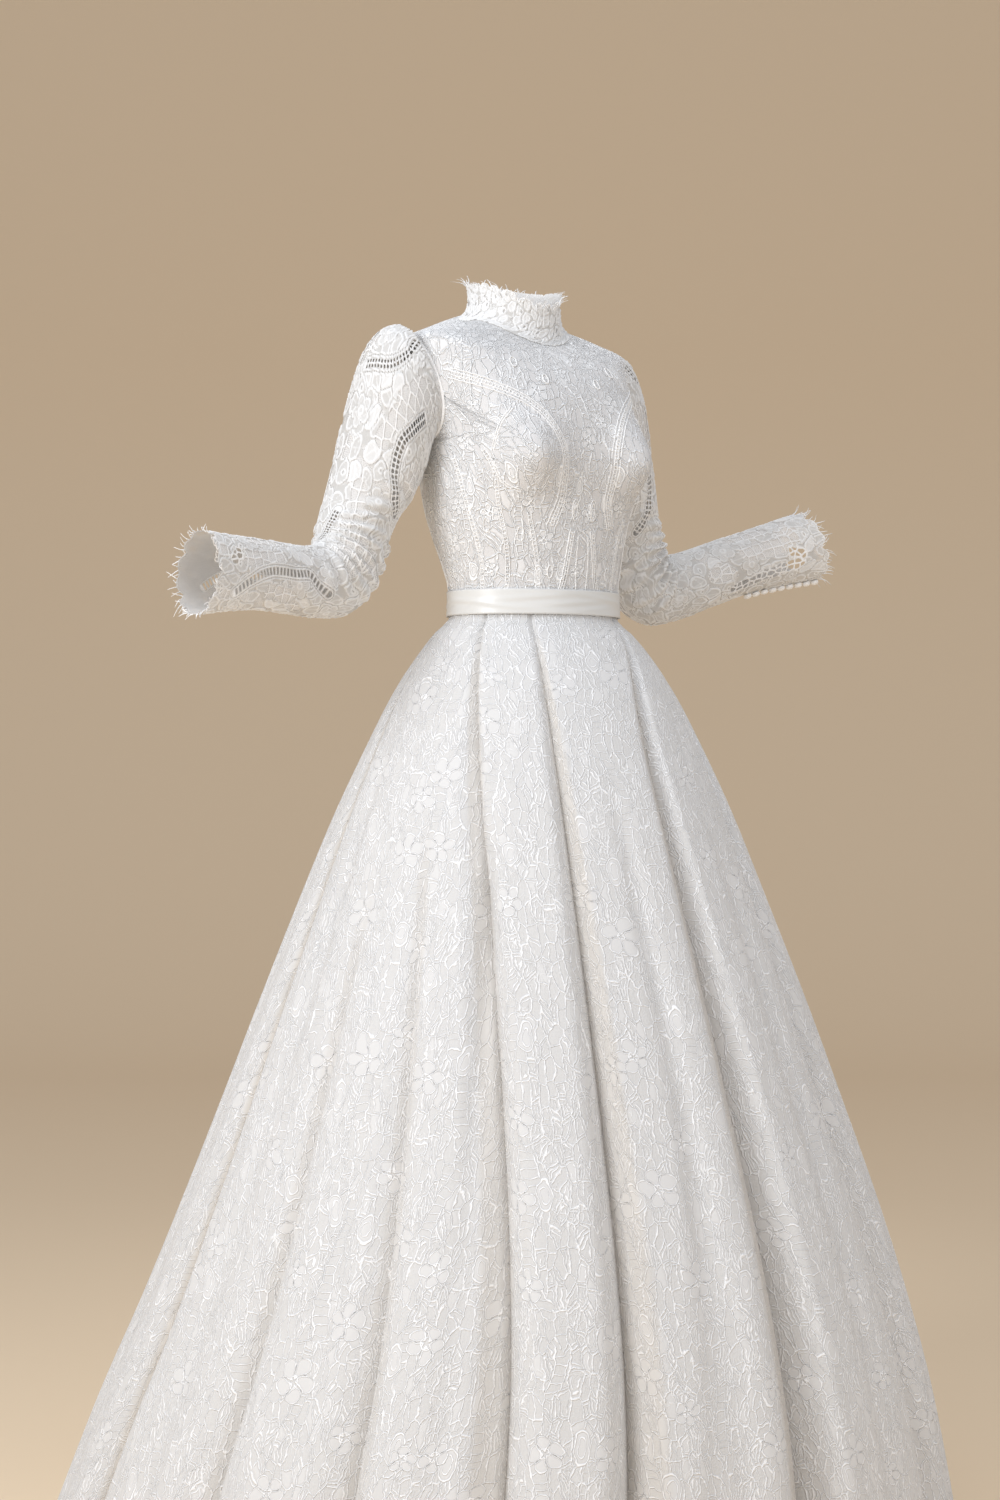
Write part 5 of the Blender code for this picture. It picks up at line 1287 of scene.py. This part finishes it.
def laceMaterial(name, look):
    # corded lace sewn flat over a plain lining: its cords stand up and catch the light, while the petals and
    # leaves between them are worked flat and stay nearly as pale as the lining under the net
    material, tree, shader = newMaterial(name)
    cord = look["cord"]
    flat = clothPlace(tree)

    def add(kind, *values, **settings):
        return addNode(tree, kind, *values, **settings)

    def cells(wide, high, feature, loose=0.85, shift=0.0):
        moved = add("VectorMath:ADD", place, (shift, shift * 1.7, 0))
        scaled = add("VectorMath:MULTIPLY", moved, (1 / wide, 1 / high, 0))
        cell = add("TexVoronoi:" + feature, {"Vector": scaled, "Scale": 1.0, "Randomness": loose},
                   out=None, voronoi_dimensions="2D")
        return scaled, cell.outputs

    def borders(wide, high, loose=0.85, shift=0.0):
        # millimetres to the border between the two nearest cells, so that cords keep one width all round
        _, near = cells(wide, high, "F1", loose, shift)
        _, second = cells(wide, high, "F2", loose, shift)
        square = [add("Math:MULTIPLY", cell["Distance"], cell["Distance"]) for cell in (second, near)]
        apart = add("VectorMath:SUBTRACT", second["Position"], near["Position"])
        slope = add("VectorMath:MULTIPLY", apart, (2 / wide, 2 / high, 0))
        slope = add("VectorMath:LENGTH", slope, out="Value")
        return add("Math:DIVIDE", add("Math:SUBTRACT", *square), slope), near["Color"]

    def fromMiddle(scaled, cell, wide, high):
        away = add("VectorMath:SUBTRACT", scaled, cell["Position"])
        return add("VectorMath:MULTIPLY", away, (wide, high, 0))

    # the whole design strays a little from its cells, in long waves and short ones
    place = flat
    for size, wide, high in look["wander"]:
        noise = add("TexNoise:2D", {"Vector": flat, "Scale": 1 / size, "Detail": 1.0}, out="Color")
        drift = add("VectorMath:SUBTRACT", noise, (0.5, 0.5, 0.5))
        place = add("VectorMath:ADD", place, add("VectorMath:MULTIPLY", drift, (wide, high, 0)))
    u, v, _ = add("SeparateXYZ", place, out=None).outputs
    knots = add("TexNoise:2D", {"Vector": flat, "Scale": 1 / look["knot"], "Detail": 1.0})
    knotted = add("Math:MULTIPLY_ADD", knots, 1.7, 0.15)

    # cords that join up round long cells, their width uneven as the thread knots, with some cells leaved and
    # some lined twice
    wide, high = look["cell"]
    edge, own = borders(wide, high)
    leaved, doubled, _ = add("SeparateColor", own, out=None).outputs
    mainCord = add("Math:MULTIPLY", add("MapRange:SMOOTHSTEP", edge, cord * 1.5, cord * 0.2), knotted)
    leaved = add("MapRange:SMOOTHSTEP", leaved, 1 - look["leaves"], 1.02 - look["leaves"])
    leaf = add("MapRange:SMOOTHSTEP", edge, cord * 1.2, cord * 3.4)
    leaf = combine(tree, "MULTIPLY", leaved, leaf, look["fill"])
    doubled = add("MapRange:SMOOTHSTEP", doubled, 0.52, 0.55)
    lined = combine(tree, "MULTIPLY", doubled, ridge(tree, edge, cord * 3.8, cord * 1.2), 0.8)
    # thinner cords between them, in patches
    thinEdge, _ = borders(wide * 0.52, high * 0.44, 0.9, 9.0)
    patches = add("TexNoise:2D", {"Vector": flat, "Scale": 1 / look["patch"], "Detail": 0.0})
    patches = add("MapRange:SMOOTHSTEP", patches, 0.40, 0.60)
    thinCord = add("MapRange:SMOOTHSTEP", thinEdge, cord * 0.9, cord * 0.1)
    thinCord = combine(tree, "MULTIPLY", thinCord, patches, 0.55)

    # flowers of five petals, each petal rimmed all round
    wide, high = look["flowerCell"], look["flowerCell"] * 1.15
    scaled, flower = cells(wide, high, "F1", 0.8, 17.0)
    away = fromMiddle(scaled, flower, wide, high)
    turned, grown, chosen = add("SeparateColor", flower["Color"], out=None).outputs
    reach = add("VectorMath:LENGTH", away, out="Value")
    across, along, _ = add("SeparateXYZ", away, out=None).outputs
    turn = add("Math:MULTIPLY_ADD", turned, 6.0, add("Math:ARCTAN2", along, across))
    lobe = add("Math:ABSOLUTE", add("Math:COSINE", add("Math:MULTIPLY", turn, 2.5)))
    size = add("Math:MULTIPLY_ADD", grown, look["flower"] * 0.4, look["flower"] * 0.75)
    petalReach = add("Math:MULTIPLY_ADD", add("Math:POWER", lobe, 0.55), 0.52, 0.48)
    inPetal = add("Math:SUBTRACT", add("Math:MULTIPLY", size, petalReach), reach)
    shown = add("MapRange:SMOOTHSTEP", chosen, 0.22, 0.24)
    inside = add("Math:MULTIPLY", shown, add("MapRange:SMOOTHSTEP", inPetal, -0.4, 0.6))
    fromGroove = combine(tree, "MULTIPLY", reach, lobe, 0.4)
    groove = add("Math:MULTIPLY", inside, ridge(tree, fromGroove, 1.3, cord * 0.9))
    petal = combine(tree, "MULTIPLY", inside, add("MapRange:SMOOTHSTEP", fromGroove, 0.0, 2.6), look["fill"])
    heart = ridge(tree, reach, look["flower"] * 0.24, cord * 1.1)
    flowers = combine(tree, "MAXIMUM", ridge(tree, inPetal, 0.9, cord * 1.3), groove, heart, petal)
    flowers = add("Math:MULTIPLY", shown, flowers)
    flowerClear = add("Math:MULTIPLY", shown, add("MapRange:SMOOTHSTEP", inPetal, -1.3, -0.2))
    flowerClear = add("Math:SUBTRACT", 1.0, flowerClear)

    # upright ovals with a ring inside a ring
    wide, high = look["ovalCell"], look["ovalCell"] * 1.6
    scaled, oval = cells(wide, high, "F1", 0.9, 41.0)
    away = fromMiddle(scaled, oval, wide / look["oval"], high / (look["oval"] * 1.8))
    ovalReach = add("VectorMath:LENGTH", away, out="Value")
    thick = cord / look["oval"]
    ovalFill = add("Math:MULTIPLY", add("MapRange:SMOOTHSTEP", ovalReach, 1.0, 0.8), look["fill"])
    ovals = combine(tree, "MAXIMUM", ridge(tree, ovalReach, 1.0, thick * 1.2),
                    ridge(tree, ovalReach, 0.55, thick), ovalFill)
    ovalClear = add("MapRange:SMOOTHSTEP", ovalReach, 1.05, 1.25)

    # long waving stems here and there, each a pair of cords with rungs between
    sway = add("TexNoise:2D", {"Vector": flat, "Scale": 1 / look["stemWave"], "Detail": 0.0})
    column = add("Math:ADD", u, add("Math:MULTIPLY", sway, look["stemSway"]))
    column = add("Math:DIVIDE", column, look["stemGap"])
    aside = add("Math:SUBTRACT", add("Math:FRACT", column), 0.5)
    aside = add("Math:ABSOLUTE", add("Math:MULTIPLY", aside, look["stemGap"]))
    step = add("Math:FRACT", add("Math:DIVIDE", v, look["rung"]))
    between = add("MapRange:SMOOTHSTEP", aside, look["stem"], look["stem"] - 0.6)
    rungs = add("Math:MULTIPLY", ridge(tree, step, 0.5, cord * 1.1 / look["rung"]), between)
    elsewhere = add("VectorMath:ADD", flat, (400, 300, 0))
    stemShown = add("TexNoise:2D", {"Vector": elsewhere, "Scale": 1 / look["stemLong"], "Detail": 0.0})
    stemShown = add("MapRange:SMOOTHSTEP", stemShown, 0.50, 0.52)
    stems = combine(tree, "MAXIMUM", ridge(tree, aside, look["stem"], cord * 1.2), rungs)
    stems = combine(tree, "MULTIPLY", stems, stemShown, ovalClear)
    stemClear = add("MapRange:SMOOTHSTEP", aside, look["stem"] + 1.8, look["stem"] + 0.6)
    stemClear = add("Math:SUBTRACT", 1.0, add("Math:MULTIPLY", stemShown, stemClear))

    # the net's own mesh, which is too fine to show and so is drawn coarser
    _, net = cells(look["net"], look["net"], "DISTANCE_TO_EDGE", 0.5, 5.0)
    mesh = add("Math:MULTIPLY", add("MapRange:SMOOTHSTEP", net["Distance"], 0.22, 0.05), look["netHeight"])

    # what lies on top hides what it crosses
    network = combine(tree, "MAXIMUM", mainCord, leaf, lined, thinCord)
    network = combine(tree, "MULTIPLY", network, flowerClear, ovalClear, stemClear)
    behind = add("Math:MULTIPLY", combine(tree, "MAXIMUM", ovals, stems), flowerClear)
    height = combine(tree, "MAXIMUM", network, flowers, behind, mesh)
    # painted shade: in a band beside each of the skirt's folds the lace's colours go darker and warmer, by
    # the mask on the mesh
    deep = add("Attribute", out="Fac", attribute_name="paintedLightAndShade")
    colours = [add("Mix:RGBA", {0: deep, 6: toLinear(look[cloth]), 7: toLinear(look[cloth + "PaintedShade"])}, out=2)
               for cloth in ("ground", "thread")]
    corded = add("MapRange:SMOOTHSTEP", height, 0.0, 0.9)
    colour = add("Mix:RGBA", {0: corded, 6: colours[0], 7: colours[1]}, out=2)
    bump = add("Bump", {"Height": height, "Strength": 1.0, "Distance": look["relief"] / 1000})
    plug(tree, shader, {"Base Color": colour, "Normal": bump, "Roughness": 0.78, "Sheen Weight": 0.12,
                        "Sheen Roughness": 0.5})
    return material


def threadGrain(tree, look, strength):
    # spun thread: its fine roughness, and the bump that softens the light on it
    place = clothPlace(tree)
    grain = addNode(tree, "TexNoise:2D", {"Vector": place, "Scale": 1 / look["thread"], "Detail": 2.0})
    bump = addNode(tree, "Bump", {"Height": grain, "Strength": strength, "Distance": look["relief"] / 1000})
    return grain, bump


def threadMaterial(name, look):
    # cotton cord, dull, with its thread showing as a fine roughness that softens the light
    material, tree, shader = newMaterial(name)
    grain, bump = threadGrain(tree, look, 0.6)
    share = addNode(tree, "MapRange:SMOOTHSTEP", grain, 0.3, 0.7)
    colour = addNode(tree, "Mix:RGBA", {0: share, 6: toLinear(look["low"]), 7: toLinear(look["high"])}, out=2)
    plug(tree, shader, {"Base Color": colour, "Normal": bump, "Roughness": look["rough"],
                        "Sheen Weight": 0.10})
    return material


def openLaceMaterial(name, look):
    # cotton guipure: cords that stand up catch the light, and painted highlight and shade follow the relief,
    # the ground between the cords painted greyer as shade; some light passes through the thin cloth
    material, tree, shader = newMaterial(name)
    paintedLightAndShade = addNode(tree, "Attribute", out="Fac", attribute_name="paintedLightAndShade")
    grain, bump = threadGrain(tree, look, 0.7)
    # painted light and shade: the higher the cloth stands the whiter its colour, the lower the greyer
    cords = addNode(tree, "MapRange:SMOOTHSTEP", paintedLightAndShade, look["lowAt"], look["highAt"])
    height = addNode(tree, "Math:MULTIPLY_ADD", grain, 0.35, cords)
    share = addNode(tree, "MapRange:SMOOTHSTEP", height, 0.1, 1.1)
    colour = addNode(tree, "Mix:RGBA", {0: share, 6: toLinear(look["low"]), 7: toLinear(look["high"])}, out=2)
    plug(tree, shader, {"Base Color": colour, "Normal": bump, "Roughness": look["rough"]})
    through = addNode(tree, "BsdfTranslucent", {"Color": colour})
    both = addNode(tree, "MixShader", look["through"], shader.outputs[0], through)
    plug(tree, tree.nodes["Material Output"], {"Surface": both})
    return material


def netMaterial(name, look):
    # cotton tulle: its mesh is too fine to show, so it is drawn coarser, as a veil that hides part of what is
    # behind it
    material, tree, shader = newMaterial(name)
    place = clothPlace(tree, look["mesh"], look["mesh"])
    net = addNode(tree, "TexVoronoi:DISTANCE_TO_EDGE", {"Vector": place, "Scale": 1.0, "Randomness": 0.9},
                  out="Distance", voronoi_dimensions="2D")
    plug(tree, shader, {"Base Color": toLinear(look["colour"]), "Roughness": 0.85})
    veil = addNode(tree, "MapRange:SMOOTHSTEP", net, 0.24, 0.06, look["thinnest"], 1.0)
    both = addNode(tree, "MixShader", veil, addNode(tree, "BsdfTransparent"), shader.outputs[0])
    plug(tree, tree.nodes["Material Output"], {"Surface": both})
    return material


def satinMaterial(name, look):
    # woven satin: long floats lie along the ribbon, so its shine spreads across it
    material, tree, shader = newMaterial(name)
    place = clothPlace(tree, look["float"], look["yarn"])
    grain = addNode(tree, "TexNoise:2D", {"Vector": place, "Scale": 1.0, "Detail": 1.0})
    bump = addNode(tree, "Bump", {"Height": grain, "Strength": 0.12, "Distance": 0.0002})
    plug(tree, shader, {"Base Color": toLinear(look["colour"]), "Normal": bump, "Roughness": look["rough"],
                        "Anisotropic": 0.4, "Sheen Weight": 0.05})
    return material


# sizes are in millimetres, apart from shares and chances
bodiceLace = laceMaterial("guipureLaceOverSatin", {
    "cell": (11.5, 21.0), "cord": 1.2, "leaves": 0.14, "knot": 2.8, "patch": 40.0, "fill": 0.34,
    "wander": [(36.0, 10.0, 14.0), (9.0, 4.0, 4.0)],
    "flowerCell": 56.0, "flower": 13.0, "ovalCell": 60.0, "oval": 6.0,
    "stemGap": 52.0, "stemSway": 70.0, "stemWave": 150.0, "stem": 4.2, "rung": 6.0, "stemLong": 60.0,
    "net": 3.2, "netHeight": 0.08, "relief": 1.8,
    "ground": "#DCDAD8", "thread": "#FEFEFD", "groundPaintedShade": "#DCDAD8", "threadPaintedShade": "#FEFEFD",
})
skirtLace = laceMaterial("laceOverNetAndLining", {
    "cell": (10.5, 24.0), "cord": 0.95, "leaves": 0.16, "knot": 2.8, "patch": 60.0, "fill": 0.24,
    "wander": [(36.0, 12.0, 16.0), (10.0, 4.6, 4.2)],
    "flowerCell": 84.0, "flower": 23.0, "ovalCell": 104.0, "oval": 9.5,
    "stemGap": 118.0, "stemSway": 70.0, "stemWave": 150.0, "stem": 7.5, "rung": 10.0, "stemLong": 90.0,
    "net": 3.8, "netHeight": 0.14, "relief": 1.0,
    # the painted shade colours are used in the band beside the skirt's folds
    "ground": "#D7D5D2", "thread": "#FAF9F8", "groundPaintedShade": "#CCC5BB", "threadPaintedShade": "#E2DBD2",
})
openLace = openLaceMaterial("cottonGuipureLace", {
    # low is the grey of painted shade on the lowest cloth, high the thread's white where it stands highest
    "thread": 1.1, "lowAt": -0.1, "highAt": 0.9, "low": "#DEDBD6", "high": "#FFFEFC",
    "relief": 0.3, "rough": 0.82, "through": 0.25,
})
netGround = netMaterial("cottonTulle", {"mesh": 2.0, "thinnest": 0.57, "colour": "#E8E5E1"})
cordThread = threadMaterial("cottonLaceCord", {
    "thread": 1.1, "low": "#F7F5F2", "high": "#FFFEFC", "relief": 0.25, "rough": 0.82,
})
liningCloth = threadMaterial("plainLining", {
    "thread": 0.8, "low": "#ECE9E4", "high": "#F2F0EC", "relief": 0.10, "rough": 0.60,
})
ribbonSatin = satinMaterial("silkSatin", {
    "float": 3.0, "yarn": 0.25, "colour": "#E1E0DC", "rough": 0.28,
})
buttonSatin = satinMaterial("satinButtonCover", {
    "float": 1.2, "yarn": 0.3, "colour": "#FCFAF7", "rough": 0.42,
})
print("materials made")


# Studio: a pale paper sweep, a big soft light at the viewer's left, weak ones at the right and above, and one
# behind that keeps the back from going dark

studio = {
    "away": (0.643, 0.766), "right": (0.766, -0.643), "floor": -1.5205, "height": -0.519,
    "distance": 3.52, "aside": 0.024, "lens": 65.0,
    "paperFrom": -7.0, "wallAt": 7.4, "bend": 2.6, "bendSteps": 16, "wallTop": 7.0, "wide": 24.0,
    "paper": "#E6D0B2", "world": ("#F5F8FF", 0.59),
    # name: along the view (towards the viewer is minus), to the right, height, size, watts, how wide
    # it spreads in degrees, colour
    "lights": [("keyLight", -2.7, -2.5, 0.7, 1.6, 83, 180, "#F5F9FF"),
               ("fillLight", -2.8, 2.2, 0.0, 2.4, 22, 180, "#F4F8FF"),
               ("topLight", -1.0, -0.4, 2.2, 1.6, 18, 180, "#F2F7FF"),
               ("backLight", 3.6, 0.4, 1.7, 2.4, 11, 60, "#F2F7FF")],
    "aim": -0.15,
}


def studioPlace(ahead, aside, height):
    # a place along the camera's view, to its right and up
    away, right = studio["away"], studio["right"]
    return Vector((away[0] * ahead + right[0] * aside, away[1] * ahead + right[1] * aside, height))


def buildStudio():
    bend, bendFrom = studio["bend"], studio["wallAt"] - studio["bend"]
    profile = [(studio["paperFrom"], 0.0), (bendFrom, 0.0)]
    for step in range(1, studio["bendSteps"] + 1):
        turn = step / studio["bendSteps"] * math.pi / 2
        profile.append((bendFrom + bend * math.sin(turn), bend * (1 - math.cos(turn))))
    profile.append((studio["wallAt"], studio["wallTop"]))
    points, faces = [], []
    for ahead, up in profile:
        for aside in (-studio["wide"] / 2, studio["wide"] / 2):
            points.append(studioPlace(ahead, aside, studio["floor"] + up))
    for row in range(len(profile) - 1):
        faces.append((row * 2, row * 2 + 1, row * 2 + 3, row * 2 + 2))
    mesh = bpy.data.meshes.new("paperSweep")
    mesh.from_pydata(points, [], faces)
    mesh.shade_smooth()
    # uncoated paper, which reflects evenly and shows no shine
    material, tree, shader = newMaterial("backdropPaper")
    plug(tree, shader, {"Base Color": toLinear(studio["paper"]), "Roughness": 0.95,
                        "Specular IOR Level": 0.1})
    mesh.materials.append(material)
    sweep = bpy.data.objects.new("paperSweep", mesh)
    bpy.context.scene.collection.objects.link(sweep)

    target = Vector((0, 0, studio["aim"]))
    for name, ahead, aside, height, size, watts, spread, colour in studio["lights"]:
        light = bpy.data.lights.new(name, "AREA")
        light.shape, light.size, light.energy = "SQUARE", size, watts
        light.color = toLinear(colour)[:3]
        light.spread = math.radians(spread)
        lamp = bpy.data.objects.new(name, light)
        lamp.location = studioPlace(ahead, aside, height)
        lamp.rotation_euler = (target - lamp.location).to_track_quat("-Z", "Y").to_euler()
        lamp.visible_camera = False
        bpy.context.scene.collection.objects.link(lamp)

    # whites stay white, because this view compresses no tones
    bpy.context.scene.view_settings.view_transform = "Standard"
    world = bpy.data.worlds.new("studioRoom")
    world.use_nodes = True
    colour, strength = studio["world"]
    background = world.node_tree.nodes["Background"]
    plug(world.node_tree, background, {"Color": toLinear(colour), "Strength": strength})
    bpy.context.scene.world = world

    lens = bpy.data.cameras.new("camera")
    lens.lens = studio["lens"]
    camera = bpy.data.objects.new("camera", lens)
    camera.location = studioPlace(-studio["distance"], -studio["aside"], studio["height"])
    camera.rotation_euler = studioPlace(1, 0, 0).to_track_quat("-Z", "Y").to_euler()
    bpy.context.scene.collection.objects.link(camera)
    bpy.context.scene.camera = camera


# Make the pieces

breaks = [0, bodice["underarm"], bodice["princessTop"], bodice["shoulderPoint"], bodice["neck"]]
whole = evenLevels(breaks, bodice["cell"])
short = evenLevels(breaks[:3], bodice["cell"])
panels = [
    ("bodiceFront", "bodice_front", whole, mirrored(frontEdge), frontEdge),
    ("bodiceSideFrontLeft", "bodice_side_front_L", short, princessEdge, sideEdge),
    ("bodiceSideFrontRight", "bodice_side_front_R", short, mirrored(sideEdge), mirrored(princessEdge)),
    ("bodiceBackLeft", "bodice_back_L", whole, backEdge, centreBackEdge),
    ("bodiceBackRight", "bodice_back_R", whole, mirrored(centreBackEdge), mirrored(backEdge)),
]
for name, node, levels, firstEdge, lastEdge in panels:
    bodicePanel(name, node, levels, firstEdge, lastEdge, bodiceLace, liningCloth)
bodiceBands(cordThread)
print("bodice made")
skirtPieces(skirtLace, liningCloth)
print("skirt made")
collarGrid, collarNormals, collarTop = collarPiece(openLace, netGround)
beltPiece(ribbonSatin)
print("collar and ribbon made")
sleeves = {side: sleevePiece(side, openLace, netGround) for side in ("L", "R")}
armholeCords(cordThread)
print("sleeves made")
edgings(cordThread, collarGrid, collarNormals, collarTop, sleeves)
buttonPieces(buttonSatin, sleeves)
print("edging and buttons made")
buildStudio()
